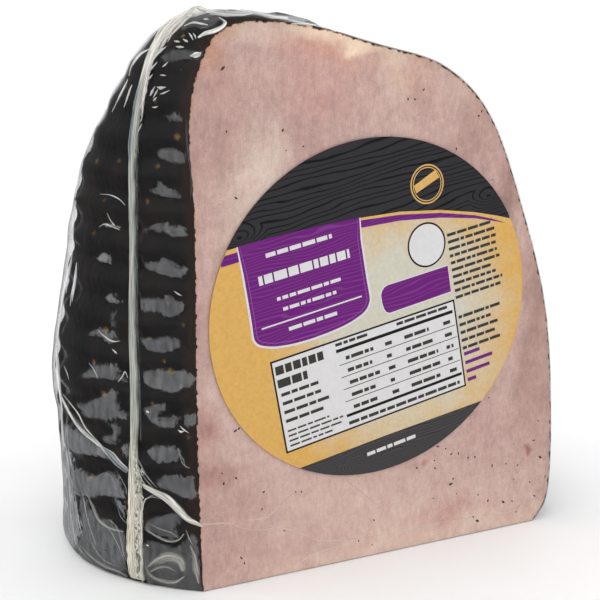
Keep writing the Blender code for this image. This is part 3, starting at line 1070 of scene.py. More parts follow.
def fold_rows(skin, pixels, widths_mm, height_share, lift_mm, upright, bridges):
    """A fold that follows pixels over the skin; upright turns it from flat towards the camera."""
    camera = on_ham(CAMERA_MM)
    line = smooth_line(pixels, FOLD_STEPS)
    spots = []
    for number, pixel in enumerate(line):
        spot = seen_at(skin, pixel)
        if spot:
            spots.append((number / (len(line) - 1), *spot))
    if bridges:
        spots = taut(spots, camera)
    rows = []
    for number, (share, place, normal) in enumerate(spots):
        before = spots[max(number - 1, 0)][1]
        after = spots[min(number + 1, len(spots) - 1)][1]
        along = (after - before).normalized()
        place_in_widths = share * (len(widths_mm) - 1)
        low = min(int(place_in_widths), len(widths_mm) - 2)
        width = widths_mm[low] + (widths_mm[low + 1] - widths_mm[low]) * (place_in_widths - low)
        half = max(width, 0.05) * MM / 2
        normal = normal.lerp((camera - place).normalized(), upright).normalized()
        across = along.cross(normal).normalized()
        rows.append((place + normal * lift_mm * MM, across, normal, half, half * 2 * height_share))
    return rows


def folds(name, skin, lines, material, height_share, lift_mm, upright, bridges):
    """A piece of folds; each line is its widths and the pixels that it passes through."""
    strips = []
    for widths, pixels in lines:
        rows = fold_rows(skin, pixels, widths, height_share, lift_mm, upright, bridges)
        if len(rows) > 2:
            strips.append(rows)
    piece = strip_mesh(name, strips, FOLD_SECTION)
    piece.data.materials.append(material)
    return piece


# Each fold in these tables: its widths along it in millimetres, then the pixels that it passes
# Folds painted white as highlights: the glints on the film over the rind, and the highlight along the
# J-shaped fold at the face's top corner
WHITE_GLINT_FOLDS = (
    ((0.3, 1.0, 1.4, 1.7, 1.5, 0.6), (
        (219, 17.5), (225, 22), (222, 27), (214, 31), (205, 33.5), (198, 37.5))),
    ((0.2, 0.9, 0.2), ((176, 46.5), (180, 47), (184, 47.3))),
    ((0.2, 1.8, 1.5, 0.2), ((190, 56), (195, 55), (199, 54), (201, 52))),
    ((0.2, 0.8, 0.2), ((183, 39), (186, 41), (188, 42))),
    ((0.2, 0.7, 0.2), ((174, 41), (177, 41.5), (180, 42))),
    ((0.2, 0.6, 0.2), ((189, 33), (191, 36), (193, 40))),
    ((0.1, 0.5, 0.1), ((193, 33), (195, 36), (196, 39))),
    ((0.2, 1.1, 0.2), ((203, 19), (206, 19.2), (209, 19.5))),
    ((0.2, 1.1, 0.2), ((157, 87), (161, 88), (166, 87))),
    ((0.1, 0.9, 0.1), ((150, 96), (152, 92), (155, 86))),
    ((0.1, 0.7, 0.1), ((153, 98), (156, 93), (158, 89))),
    ((0.1, 0.6, 0.1), ((160, 94), (164, 93), (170, 90))),
    ((0.1, 0.7, 0.1), ((153, 101), (155, 99), (157, 97))),
    ((0.1, 0.6, 0.1), ((162, 67), (165, 65), (168, 62))),
    ((0.1, 0.5, 0.1), ((160, 75), (163, 75.3), (166, 75.6))),
    ((0.1, 0.5, 0.1), ((152, 107), (155, 107.5), (158, 106))),
    ((0.3, 1.1, 0.9, 0.2), ((115, 106), (120, 96), (125, 86), (128, 79))),
    ((0.3, 0.9, 0.9, 0.3), ((124, 107), (127, 99), (130, 90), (132, 85))),
    ((0.3, 0.8, 1.4, 1.2, 0.3), ((129, 76), (131, 68), (135, 61), (141, 54), (150, 48.5))),
    ((0.2, 0.5, 0.2), ((112, 112), (114, 108), (116, 104))),
    ((0.2, 0.6, 0.4, 0.1), ((78, 168), (74, 185), (73, 200), (75, 215))),
    ((0.1, 0.6, 0.7, 0.1), ((77, 263), (75, 278), (72, 292), (70, 306))),
    ((0.1, 0.5, 0.1), ((71, 262), (69, 275), (66, 288))),
    ((0.1, 0.6, 0.1), ((99, 227), (105, 224), (113, 227), (120, 230))),
    ((0.1, 0.4, 0.1), ((107, 213), (111, 221), (117, 228))),
    ((0.1, 0.4, 0.1), ((100, 194), (110, 195), (119, 199), (125, 205))),
    ((0.1, 0.5, 0.1), ((98, 330), (104, 336), (112, 341), (120, 341))),
    ((0.1, 0.6, 0.1), ((112, 349), (115, 352), (117, 354))),
    ((0.1, 0.4, 0.1), ((64, 366), (67, 373), (69, 380))),
    ((0.1, 0.4, 0.1), ((89, 363), (94, 370), (98, 379))),
    ((0.1, 0.5, 0.5, 0.1), ((118, 382), (122, 377), (125, 372), (128, 378))),
    ((0.1, 0.5, 0.1), ((174, 291), (178, 294), (182, 296))),
    ((0.1, 0.9, 0.1), ((146, 411), (147.5, 412), (149, 413))),
    ((0.1, 0.5, 0.1), ((180, 426), (184, 430), (189, 433))),
    ((0.1, 0.8, 0.1), ((178, 430), (181, 432), (184, 431))),
    ((0.1, 0.6, 0.1), ((146, 545), (147.5, 545.5), (149, 546))),
)
# A small curl's pixels from its foot, and the feet of the curls along the seam
CURL_STEPS = ((0.0, -17), (0.7, -8), (1.9, -1), (3.4, 1.5), (4.6, 0.5))
CURL_FEET = (
    (135.2, 155), (134.6, 193), (134.4, 232), (134.2, 269), (134.2, 310), (135, 346), (136.6, 384),
)
SEAM_CURLS = tuple(
    ((0.1, 0.5, 0.45, 0.35, 0.1), tuple((x + right, y + down) for right, down in CURL_STEPS))
    for x, y in CURL_FEET
)
SEAM_WEB = (
    ((0.3, 1.1, 1.2, 1.2, 1.3, 1.3, 0.4), (
        (141.5, 112), (137.5, 150), (137, 190), (136.8, 250), (137, 310), (138.6, 370), (141, 440))),
)
EDGE_FILM = (
    ((0.2, 0.7, 0.8, 0.5, 0.2), ((186.5, 120), (186.5, 134), (187.5, 146), (188.5, 156), (188, 164))),
    ((0.2, 0.7, 0.8, 0.6, 0.2), ((189.5, 162), (190.5, 172), (191.5, 182), (191.5, 190), (190.5, 198))),
)
HAZE_STROKES = (
    ((0.3, 2.0, 3.6, 4.6, 3.8, 1.6), ((147, 567), (157, 561), (169, 557), (180, 561), (183, 571))),
    ((0.3, 1.2, 1.6, 1.4, 0.3), ((145, 566), (151, 576), (162, 581), (175, 582), (185, 576))),
    ((0.3, 1.0, 1.0, 0.2), ((150, 572), (158, 568), (167, 567), (176, 571))),
    ((0.3, 1.8, 2.6, 0.4), ((190, 545), (194, 556), (196, 570), (199, 584))),
    ((0.3, 1.8, 2.4, 1.6, 0.3), ((150, 586), (162, 589), (176, 590), (188, 591), (198, 593))),
    ((0.3, 1.0, 1.2, 0.9, 0.3), ((146, 530), (156, 536), (168, 541), (178, 540), (184, 534))),
    ((0.3, 1.3, 1.5, 1.2, 0.3), ((80, 545), (90, 556), (104, 566), (118, 571), (127, 577))),
    ((0.3, 1.2, 1.5, 1.2, 0.3), ((69, 500), (72, 520), (75, 540), (82, 552), (92, 562))),
    ((0.3, 1.4, 1.4, 1.0, 0.3), ((84, 488), (92, 505), (99, 520), (110, 528), (124, 532))),
    ((0.2, 0.9, 1.0, 0.3), ((110, 520), (117, 528), (121, 540), (124, 556))),
)
CRIMPS = (
    ((0.1, 0.7, 0.1), ((147, 83), (151, 78), (154, 74))),
    ((0.1, 0.8, 0.1), ((148, 74), (153, 68), (158, 62))),
    ((0.1, 0.7, 0.7, 0.1), ((151, 66), (156, 58), (161, 52), (167, 47))),
    ((0.1, 0.6, 0.1), ((155, 56), (160, 51), (166, 48))),
    ((0.1, 0.8, 0.1), ((161, 44), (166, 38), (171, 32))),
    ((0.1, 0.7, 0.1), ((165, 37), (170, 31), (174, 28))),
    ((0.1, 0.7, 0.1), ((168, 43), (171, 37), (173, 31))),
    ((0.1, 0.8, 0.1), ((173, 30), (178, 26), (183, 22))),
    ((0.1, 0.9, 0.1), ((181, 23), (187, 18), (194, 13))),
    ((0.1, 0.6, 0.1), ((186, 22), (191, 18), (196, 14))),
    ((0.1, 0.6, 0.1), ((140, 108), (143, 104), (145, 100))),
    ((0.1, 0.6, 0.1), ((140, 116), (143, 113), (144, 109))),
    ((0.1, 0.6, 0.1), ((139, 124), (142, 121), (143, 117))),
    ((0.1, 0.6, 0.1), ((139, 132), (141, 128), (143, 124))),
    ((0.1, 0.6, 0.1), ((144, 98), (147, 93), (148, 88))),
)
GATHERED = (
    ((0.4, 1.6, 2.4, 2.6, 2.0, 1.4, 0.5), (
        (194.5, 6.5), (187, 13.5), (178, 20), (168, 29), (159, 42), (153, 56), (149, 72))),
    ((0.3, 1.0, 1.2, 1.0, 0.8, 0.3), ((194, 7), (182, 14), (170, 21), (160, 31), (154, 42), (149, 56))),
    ((0.3, 1.0, 1.3, 1.1, 0.3), ((190, 13), (180, 22), (172, 30), (165, 41), (158, 54))),
    ((0.3, 0.7, 0.9, 0.7, 0.3), ((194.5, 7), (190, 15), (181, 25), (174, 32), (167, 39))),
    ((0.4, 1.0, 1.1, 0.8, 0.4), ((150, 64), (147.5, 76), (145, 90), (143, 104), (142, 118))),
    ((0.3, 0.6, 0.8, 0.7, 0.3), ((157, 50), (153, 60), (148, 74), (144, 90), (140.5, 108))),
    ((0.2, 0.6, 0.6, 0.3), ((194.8, 6), (199, 9), (206, 11), (216, 12.5))),
)
TOP_FOLDS = (
    ((0.3, 1.0, 1.2, 1.0, 0.3), ((203, 11.5), (214, 13), (226, 15), (240, 15), (252, 13.5))),
    ((0.2, 1.0, 1.2, 0.9, 0.3), ((246, 13), (258, 14), (270, 16.5), (284, 17.5), (298, 17.5))),
    ((0.2, 0.5, 0.5, 0.2), ((212, 11), (228, 12), (243, 12.3), (256, 12.5))),
    ((0.2, 0.6, 0.8, 0.2), ((292, 23.4), (300, 23.8), (309, 24.6), (318, 24.6))),
    ((0.2, 0.6, 0.8, 0.6, 0.3), ((298, 18), (308, 20), (318, 23), (326, 27), (336, 32))),
    ((0.2, 0.7, 0.7, 0.2), ((184, 26), (193, 22.5), (201, 23.5), (208, 25))),
)
PLEAT_LEFT = (
    ((0.4, 0.9, 1.1, 1.4, 0.8), ((58.5, 389), (65, 404), (73, 417), (84, 432), (100, 446))),
    ((0.2, 0.5, 0.5, 0.3), ((63, 394), (78, 413), (87, 429), (103, 447))),
    ((0.7, 0.6, 0.5, 0.2), ((98, 444), (108, 455), (117, 465), (127, 473))),
    ((0.2, 0.5, 0.5, 0.2), ((103, 447), (113, 453), (121, 462), (128, 468))),
)
PLEAT_RIBBON = (((0.5, 2.2, 2.9, 2.6), ((100, 446), (110, 456), (119, 464.5), (128, 471.5))),)
PLEAT_RIGHT = (
    ((1.0, 1.6, 2.4, 2.9, 2.2, 0.8), (
        (138, 482), (150, 489.5), (166, 498), (178, 509), (188, 519), (202, 526))),
)
HAZE_FOLDS = (
    ((0.2, 1.2, 1.4, 1.0, 0.3), ((64, 432), (67, 455), (70, 480), (71, 510), (72, 548))),
    ((0.2, 0.8, 0.9, 0.2), ((69, 400), (67, 425), (69, 450), (74, 480))),
    ((0.2, 0.7, 0.6, 0.2), ((74, 470), (76, 500), (80, 525), (84, 540))),
    ((0.2, 0.6, 0.6, 0.2), ((80, 482), (84, 500), (88, 520), (96, 545))),
    ((0.1, 0.4, 0.4, 0.1), ((88, 528), (93, 545), (104, 560), (116, 566))),
    ((0.1, 0.5, 0.5, 0.1), ((100, 520), (110, 530), (118, 545), (124, 560))),
    ((0.1, 0.4, 0.4, 0.1), ((98, 476), (106, 473), (113, 480), (117, 492))),
    ((0.1, 0.4, 0.4, 0.1), ((116, 470), (122, 480), (126, 488), (127, 496))),
    ((0.1, 0.4, 0.4, 0.1), ((113, 500), (118, 508), (121, 517), (127, 524))),
    ((0.1, 0.5, 0.5, 0.1), ((146, 528), (156, 536), (166, 541), (174, 543))),
    ((0.1, 0.4, 0.4, 0.1), ((150, 524), (160, 529), (170, 532), (178, 538))),
    ((0.2, 0.7, 0.2), ((186, 530), (189, 538), (193, 545))),
    ((0.1, 0.5, 0.1), ((145, 500), (152, 497), (160, 499))),
    ((0.1, 0.5, 0.5, 0.1), ((141, 511), (143, 503), (149, 497), (156, 494))),
    ((0.1, 0.6, 0.6, 0.1), ((134, 452), (140, 463), (147, 476), (157, 488))),
    ((0.1, 0.5, 0.5, 0.1), ((136, 462), (142, 474), (148, 482), (154, 489))),
    ((0.1, 0.5, 0.5, 0.1), ((178, 449), (182, 462), (187, 467), (190, 468))),
    ((0.1, 0.5, 0.1), ((179, 453), (183, 459), (185, 465))),
)
FACE_CREASES = (
    ((0.6, 0.8, 0.5, 0.1), ((202, 524), (212, 524), (226, 523), (244, 528))),
    ((0.1, 0.4, 0.4, 0.3, 0.1), ((231, 521), (257, 519.5), (271, 514), (283, 502), (294, 493))),
    ((0.1, 0.4, 0.5, 0.4, 0.5, 0.1), (
        (234, 526), (257, 530), (281, 528), (304, 535), (324, 541), (364, 538))),
    ((0.1, 0.5, 0.6, 0.4, 0.1), ((283, 573), (307, 557), (331, 548), (341, 543), (352, 541))),
    ((0.1, 0.3, 0.1), ((346, 480), (360, 491), (374, 502))),
    ((0.1, 0.4, 0.4, 0.1), ((362, 538), (400, 532), (441, 522), (467, 518))),
    ((0.1, 0.4, 0.4, 0.1), ((467, 518), (492, 514), (515, 510), (522, 503), (539, 497))),
    ((0.1, 0.3, 0.1), ((203, 508), (222, 512), (240, 506))),
    ((0.1, 0.3, 0.1), ((205, 57), (209, 58.5), (214, 56))),
    ((0.1, 0.3, 0.1), ((204, 533), (215, 546), (228, 542))),
)
# White strips along the left silhouette: a painted highlight that stands in for the film's bright
# reflection at its edge
LIMB_GLOW_BAND = (
    ((0.3, 1.0, 1.2, 1.0, 0.3), ((156, 32), (147, 42), (139, 51), (132, 58.5), (127, 64))),
    ((0.3, 0.9, 1.1, 0.9, 0.2), ((127.5, 63), (123.5, 76), (117, 86.5), (113, 93), (110, 99))),
    ((0.2, 0.9, 0.9, 0.2), ((108, 103), (106, 110), (102.5, 118), (98, 126))),
    ((0.1, 0.6, 0.2), ((94, 136), (92, 144), (89.5, 152))),
    ((0.2, 0.6, 0.6, 0.2), ((83, 162), (79.5, 176), (77, 188), (75.5, 198))),
    ((0.2, 0.6, 0.6, 0.3), ((76, 200), (74, 216), (73, 232), (72.5, 250))),
    ((0.2, 0.9, 1.0, 0.9, 0.8, 0.3), (
        (72.5, 252), (70, 266), (66.5, 281), (63, 297), (60.5, 314), (57, 344))),
    ((0.1, 0.9, 0.8, 0.1), ((76.5, 262), (75.5, 275), (74, 288), (72, 302))),
    ((0.1, 0.5, 0.1), ((69.5, 268), (68, 280), (66, 294))),
    ((0.3, 1.1, 1.2, 1.0, 0.5), ((56.5, 345), (57.5, 362), (58.5, 378), (60, 392), (62, 410))),
    ((0.3, 0.8, 0.8, 0.3), ((62, 408), (62, 422), (63, 436), (65, 446))),
)
CREAM_STRANDS = (
    ((0.3, 0.8, 0.9, 0.7, 0.3), ((146, 498), (142.5, 506), (141, 520), (142, 536), (141, 550))),
    ((0.3, 0.6, 0.7, 0.4), ((141, 548), (142.5, 560), (141, 572), (143, 582))),
    ((0.2, 0.6, 0.6, 0.2), ((136, 466), (139, 474), (142, 480), (145, 484))),
    ((0.2, 0.5, 0.5, 0.2), ((137, 500), (139, 512), (137.5, 524), (138.5, 536))),
)


def crumples():
    """Small curls of crumpled film beside the seam's lower part."""
    dice = random.Random(8)
    lines = []
    for number in range(46):
        x = 134.5 + 7.5 * dice.random()
        y = 466.0 + 56.0 * dice.random() if number < 34 else 522.0 + 54.0 * dice.random()
        points = [(x, y)]
        for bend in range(3):
            x += 2.6 * (dice.random() - 0.5)
            y += 1.0 + 2.2 * dice.random()
            points.append((x, y))
        widths = (0.1, 0.3 + 0.25 * dice.random(), 0.3 + 0.25 * dice.random(), 0.1)
        lines.append((widths, tuple(points)))
    return tuple(lines)


# The sealed fin on the left: height, depth behind the cut face and half width
SEAM_LINE_MM = (
    (0.0, 15.6, 2.6), (4.5, 15.6, 2.55), (10.0, 15.8, 2.7), (14.0, 15.8, 2.7), (19.5, 15.5, 2.5),
    (25.5, 15.0, 2.4), (30.5, 14.8, 2.2), (35.0, 14.8, 1.8), (39.5, 14.7, 1.3), (44.0, 14.3, 1.1),
    (48.5, 13.9, 1.25), (54.5, 13.7, 1.25), (59.0, 13.7, 1.15), (65.0, 14.0, 1.1), (73.5, 15.0, 1.05),
    (84.5, 16.1, 1.0), (96.0, 16.9, 0.97), (107.5, 16.2, 0.93), (115.5, 15.5, 0.92), (124.5, 14.9, 1.1),
    (128.5, 15.0, 1.6), (132.5, 14.9, 1.5), (136.5, 14.9, 1.35), (140.0, 15.2, 1.6), (145.5, 15.0, 1.5),
    (149.0, 15.0, 1.6), (152.5, 15.4, 2.0), (155.5, 16.0, 2.3), (159.0, 16.4, 2.4), (165.0, 16.4, 1.9),
)


# How far before and behind the fin the ham's slope is taken, where the fin's left side ends, and
# the peak's place, all in millimetres
SLOPE_ARM = 0.25
SEAM_TOP_X = 16.0
PEAK_X = 8.6


def seam_at(height, is_left):
    """The fin's depth and half width at a height."""
    if not is_left:
        return 16.4 - 1.4 * smooth_step(163.0, 120.0, height), 0.95
    for below, above in zip(SEAM_LINE_MM, SEAM_LINE_MM[1:]):
        if below[0] <= height <= above[0]:
            share = (height - below[0]) / (above[0] - below[0])
            return tuple(low + (high - low) * share for low, high in zip(below[1:], above[1:]))
    return SEAM_LINE_MM[-1][1:]


def seam_rows():
    """The sealed fin: up the left side, over the top to a low peak, and down the right side.

    Each point of its line holds x, how fast x changes with depth there, and z.
    """
    left = []
    right = []
    for height in level_heights(top_of(WHOLE).y)[1:]:
        level = Level(height, FACE, WHOLE)
        for side, reach, points in (
            (-level.left, level.left_reach, left),
            (level.right, level.right_reach, right),
        ):
            depth = seam_at(height, side < 0.0)[0]
            if reach > abs(level.widest - depth):
                ends = []
                for behind in (-SLOPE_ARM, SLOPE_ARM):
                    share = (level.widest - depth - behind) / reach
                    ends.append(level.middle + side * math.sqrt(max(1.0 - share**2, 0.0)))
                slope = (ends[1] - ends[0]) / (2 * SLOPE_ARM)
                points.append(Vector((sum(ends) / 2, slope, height)))
    crest = (left[-1] + right[-1]) / 2
    crest.z = top_of(WHOLE).y
    outline = left + [crest] + right[::-1]
    rows = []
    for number in range(1, len(outline) - 1):
        before, point, after = outline[number - 1 : number + 2]
        along = Vector((after.x - before.x, 0.0, after.z - before.z)).normalized()
        upright = abs(along.z)
        across = Vector((max(min(point.y, 1.0), -1.0) * upright, 1.0, 0.0)).normalized()
        outward = along.cross(across).normalized()
        if outward.dot(Vector((point.x - FACE_MIDDLE.x, 0.0, point.z - FACE_MIDDLE.z))) < 0.0:
            outward = -outward
        is_left = point.x < SEAM_TOP_X
        depth, half = seam_at(point.z, is_left)
        low = (1.0 - smooth_step(10.0, 48.0, point.z)) if is_left else 0.0
        wave = noise.noise(Vector((number * 0.045, 2.0, 0.0)))
        ripple = noise.noise(Vector((number * 0.31, 8.0, 0.0)))
        peak = math.exp(-(((point.x - PEAK_X) / 2.2) ** 2)) * smooth_step(158.0, 163.0, point.z)
        height = (0.62 if is_left else 0.4) + 0.12 * ripple + 1.9 * peak + 0.3 * low * ripple
        # The crest's second, lower rise on the right of the peak
        height += 1.5 * window(point.x, 34.0, 44.0, 6.0) * (not is_left)
        half += 0.05 * wave + 0.25 * low * ripple
        depth += 0.1 * wave + 0.2 * low * wave
        place = on_ham((point.x, depth, point.z))
        rows.append((place, across, outward, half * MM, height * MM))
    return rows


def label_point(across_mm, up_mm, layer):
    """A place on the sticker's front in its print's own millimetres."""
    turned = Matrix.Rotation(PRINT_TURN, 2) @ Vector((across_mm, up_mm))
    front = -LABEL_GAP_MM - LABEL_THICKNESS_MM - PLATE_STEP_MM * layer
    return on_ham((PRINT_CENTRE_MM[0] + turned.x, front, PRINT_CENTRE_MM[1] + turned.y))


def oval_edge(steps=180, inset=0.0):
    """The sticker's rim in the print's own millimetres, anticlockwise from the right."""
    turn = Matrix.Rotation(LABEL_TURN - PRINT_TURN, 2)
    middle = Vector(LABEL_CENTRE_MM) - Vector(PRINT_CENTRE_MM)
    middle = Matrix.Rotation(-PRINT_TURN, 2) @ middle
    rim = []
    for step in range(steps):
        angle = 2.0 * math.pi * step / steps
        across = (LABEL_HALVES_MM[0] - inset) * math.cos(angle)
        up = (LABEL_HALVES_MM[1] - inset) * math.sin(angle)
        rim.append(middle + turn @ Vector((across, up)))
    return rim


# The width over which fields are cut from the oval, and in how many steps
FIELD_LEFT = -53.0
FIELD_WIDTH = 112.0
FIELD_STEPS = 240


def height_on(curve, across):
    """A curve's height, which runs from left to right."""
    for start, end in zip(curve, curve[1:]):
        if start[0] <= across <= end[0]:
            share = (across - start[0]) / (end[0] - start[0])
            return start[1] + (end[1] - start[1]) * share
    return curve[0][1] if across < curve[0][0] else curve[-1][1]


def field_between(upper, lower):
    """The part of the oval between two curves; None stands for the oval's own rim."""
    top = []
    bottom = []
    for step in range(FIELD_STEPS + 1):
        across = FIELD_LEFT + FIELD_WIDTH * step / FIELD_STEPS
        rim = [point.y for point in crossings_at(across)]
        if len(rim) < 2:
            continue
        high = max(rim) if upper is None else min(max(rim), height_on(upper, across))
        low = min(rim) if lower is None else max(min(rim), height_on(lower, across))
        if high > low:
            top.append((across, high))
            bottom.append((across, low))
    return bottom + list(reversed(top))


def crossings_at(across):
    """Where an upright line meets the oval's rim."""
    rim = oval_edge(inset=-0.06)
    found = []
    for start, end in zip(rim, rim[1:] + rim[:1]):
        if (start.x <= across) != (end.x <= across):
            found.append(start.lerp(end, (across - start.x) / (end.x - start.x)))
    return found


def shrunk(outline, inset):
    """An outline moved inwards by an inset."""
    points = [Vector(point) for point in outline]
    area = sum(a.x * b.y - b.x * a.y for a, b in zip(points, points[1:] + points[:1]))
    sign = 1.0 if area > 0 else -1.0
    moved = []
    for number, point in enumerate(points):
        before = points[number - 1]
        after = points[(number + 1) % len(points)]
        along = (after - before).normalized()
        moved.append(tuple(point + Vector((-along.y, along.x)) * inset * sign))
    return moved


def disc(centre, radius, steps=48):
    """A circle's outline."""
    angles = [2.0 * math.pi * step / steps for step in range(steps)]
    return [(centre[0] + radius * math.cos(a), centre[1] + radius * math.sin(a)) for a in angles]


def bar(left, low, right, high):
    """A rectangle's outline."""
    return [(left, low), (right, low), (right, high), (left, high)]


# The sticker's fields, in its print's own millimetres from its middle: the lower edges of the
# charcoal, gold and purple at its top, the foot's upper edge, and the shield's outline
CHARCOAL_EDGE = (
    (-60.0, 28.5), (-38.0, 28.4), (-25.4, 28.1), (-11.1, 27.45), (2.8, 26.35), (16.6, 24.65),
    (30.8, 21.5), (43.1, 17.6), (51.4, 14.3), (55.6, 12.4), (62.0, 9.4),
)
GOLD_EDGE = (
    (-56.0, 27.1), (-38.0, 27.1), (2.8, 25.6), (16.5, 23.75), (30.6, 20.65), (42.9, 16.7), (49.1, 14.0),
    (54.7, 11.0), (58.5, 8.8),
)
BAND_EDGE = (
    (-56.0, 24.1), (-38.3, 24.2), (2.4, 23.4), (16.2, 22.0), (30.4, 19.2), (42.8, 15.75), (49.1, 13.3),
    (54.7, 11.05), (58.5, 9.2),
)
FOOT_EDGE = ((-56.0, -41.6), (0.0, -41.8), (62.0, -43.0))
SHIELD_FOOT = (
    (-38.2, 6.0), (-38.4, 1.8), (-38.1, 0.1), (-37.0, -1.4), (-34.8, -2.6), (-31.1, -3.8), (-24.7, -4.7),
    (-16.5, -4.9), (-8.0, -4.3), (-2.4, -3.0), (0.4, -1.6), (1.9, 0.3), (2.4, 2.4), (2.3, 8.0),
)
SHIELD = (
    ((-38.0, 28.5), (-38.0, 20.0), (-38.1, 12.0))
    + tuple(tuple(point) for point in smooth_line(SHIELD_FOOT, 4))
    + ((2.4, 20.0), (2.8, 26.45), (-11.1, 27.55), (-25.4, 28.2))
)
NOTE_BOX = (
    (30.7, 4.2), (30.6, -4.7), (7.8, -4.9), (6.4, -4.2), (5.7, -2.8), (5.4, -0.8), (5.4, 1.6),
    (6.0, 2.9), (7.0, 3.9), (8.5, 4.3),
)


INKS = ("charcoal", "gold", "purple", "white", "black", "foot", "light purple")


def prints():
    """Every printed field: its ink's number, its outline and its layer."""
    seal = (27.4, 30.4)
    round_mark = (24.2, 12.3)
    fields = [
        ("charcoal", field_between(None, CHARCOAL_EDGE), 1),
        ("gold", field_between(CHARCOAL_EDGE, GOLD_EDGE), 2),
        ("purple", field_between(GOLD_EDGE, BAND_EDGE), 2),
        ("foot", field_between(FOOT_EDGE, None), 1),
        ("white", SHIELD, 3),
    ]
    for ink, inset in (("purple", 0.65), ("light purple", 1.5), ("purple", 1.75)):
        outline = shrunk(SHIELD, inset)
        for corner, point in enumerate(SHIELD):
            if point[1] > 26.0:
                outline[corner] = (outline[corner][0], point[1] + 0.05 * inset)
        fields.append((ink, outline, 4 + inset))
    fields += [
        ("white", bar(-34.9, 3.05, -0.9, 3.5), 7),
        ("gold", disc(seal, 6.0), 2),
        ("charcoal", disc(seal, 5.55), 3),
        ("gold", disc(seal, 5.15), 4),
        ("charcoal", disc(seal, 4.85), 5),
        ("gold", [(22.6, 31.0), (23.1, 28.6), (32.0, 31.4), (30.9, 33.9)], 6),
        ("black", disc(round_mark, 6.9), 2),
        ("white", disc(round_mark, 6.35), 3),
    ]
    for right, low in ((38.1, -26.0), (42.6, -28.9), (41.1, -31.8), (35.4, -34.6)):
        fields.append(("purple", bar(32.1, low, right, low + 1.1), 2))
    fields += [
        ("white", NOTE_BOX, 2),
        ("purple", shrunk(NOTE_BOX, 0.35), 3),
        ("black", bar(-34.2, -35.8, 31.2, -7.1), 2),
        ("white", bar(-33.65, -35.25, 30.65, -7.65), 3),
        ("black", bar(-12.4, -11.2, 30.0, -10.2), 4),
        ("black", bar(-12.4, -31.7, 30.2, -30.8), 4),
    ]
    for row in range(1, 5):
        low = -11.45 - row * 3.87
        fields.append(("black", bar(-12.0, low, 30.3, low + 0.22), 4))
    return [(INKS.index(ink), outline, layer) for ink, outline, layer in fields]


def print_mesh(name, inks, materials):
    """Printed fields as very thin closed plates, one layer on the next."""
    shape = bmesh.new()
    for ink, outline, layer in inks:
        sunk = -24.0 if layer == 1 else -4.0
        fronts = [shape.verts.new(label_point(across, up, layer)) for across, up in outline]
        backs = [shape.verts.new(label_point(across, up, sunk)) for across, up in outline]
        faces = [shape.faces.new(fronts), shape.faces.new(list(reversed(backs)))]
        for index in range(len(fronts)):
            after = (index + 1) % len(fronts)
            rim = (fronts[index], backs[index], backs[after], fronts[after])
            faces.append(shape.faces.new(rim))
        for face in faces:
            face.material_index = ink
    bmesh.ops.recalc_face_normals(shape, faces=shape.faces)
    mesh = mesh_of(name, shape)
    for item in materials:
        mesh.materials.append(item)
    return placed(name, mesh)


def instance_tree():
    """A shape set on every point, turned and sized by the point's own attributes."""
    tree = bpy.data.node_groups.new("set_on_points", "GeometryNodeTree")
    sides = tree.interface
    sides.new_socket("Points", in_out="INPUT", socket_type="NodeSocketGeometry")
    sides.new_socket("Shape", in_out="INPUT", socket_type="NodeSocketObject")
    sides.new_socket("Finish", in_out="INPUT", socket_type="NodeSocketMaterial")
    sides.new_socket("Geometry", in_out="OUTPUT", socket_type="NodeSocketGeometry")
    given = add(tree, "NodeGroupInput")
    shape = add(tree, "GeometryNodeObjectInfo", {"Object": given.outputs["Shape"]})
    turn = add(tree, "GeometryNodeInputNamedAttribute", {"Name": "turn"}, data_type="FLOAT_VECTOR")
    size = add(tree, "GeometryNodeInputNamedAttribute", {"Name": "size"}, data_type="FLOAT_VECTOR")
    set_on = add(
        tree,
        "GeometryNodeInstanceOnPoints",
        {
            "Points": given.outputs["Points"],
            "Instance": shape.outputs["Geometry"],
            "Rotation": turn.outputs["Attribute"],
            "Scale": size.outputs["Attribute"],
        },
    )
    real = add(tree, "GeometryNodeRealizeInstances", {"Geometry": set_on.outputs["Instances"]})
    finish = add(
        tree,
        "GeometryNodeSetMaterial",
        {"Geometry": real.outputs["Geometry"], "Material": given.outputs["Finish"]},
    )
    add(tree, "NodeGroupOutput", {"Geometry": finish.outputs["Geometry"]})
    return tree


def set_out(name, tree, shape, spots, material):
    """Copies of a shape; each spot is its place, turn and size."""
    mesh = bpy.data.meshes.new(name)
    mesh.from_pydata([spot[0] for spot in spots], [], [])
    for label, number in (("turn", 1), ("size", 2)):
        layer = mesh.attributes.new(label, "FLOAT_VECTOR", "POINT")
        layer.data.foreach_set("vector", [part for spot in spots for part in spot[number]])
    piece = placed(name, mesh)
    nodes = piece.modifiers.new("set_on_points", "NODES")
    nodes.node_group = tree
    sockets = {item.name: item.identifier for item in tree.interface.items_tree}
    nodes[sockets["Shape"]] = shape
    nodes[sockets["Finish"]] = material
    bpy.context.view_layer.update()
    seen = piece.evaluated_get(bpy.context.evaluated_depsgraph_get())
    piece.data = bpy.data.meshes.new_from_object(seen)
    piece.modifiers.clear()
    return piece


def lump(name):
    """A small faceted bead of radius one, to be sized where it is set."""
    shape = bmesh.new()
    bmesh.ops.create_icosphere(shape, subdivisions=1, radius=1.0)
    mesh = mesh_of(name, shape)
    mesh.shade_smooth()
    return bpy.data.objects.new(name, mesh)


def block(name):
    """A small bar of size one, to be sized where it is set."""
    shape = bmesh.new()
    bmesh.ops.create_cube(shape, size=1.0)
    return bpy.data.objects.new(name, mesh_of(name, shape))


# A drawn word's least length and the gap after it, in millimetres
SHORTEST_WORD = 0.5
WORD_GAP = 0.55

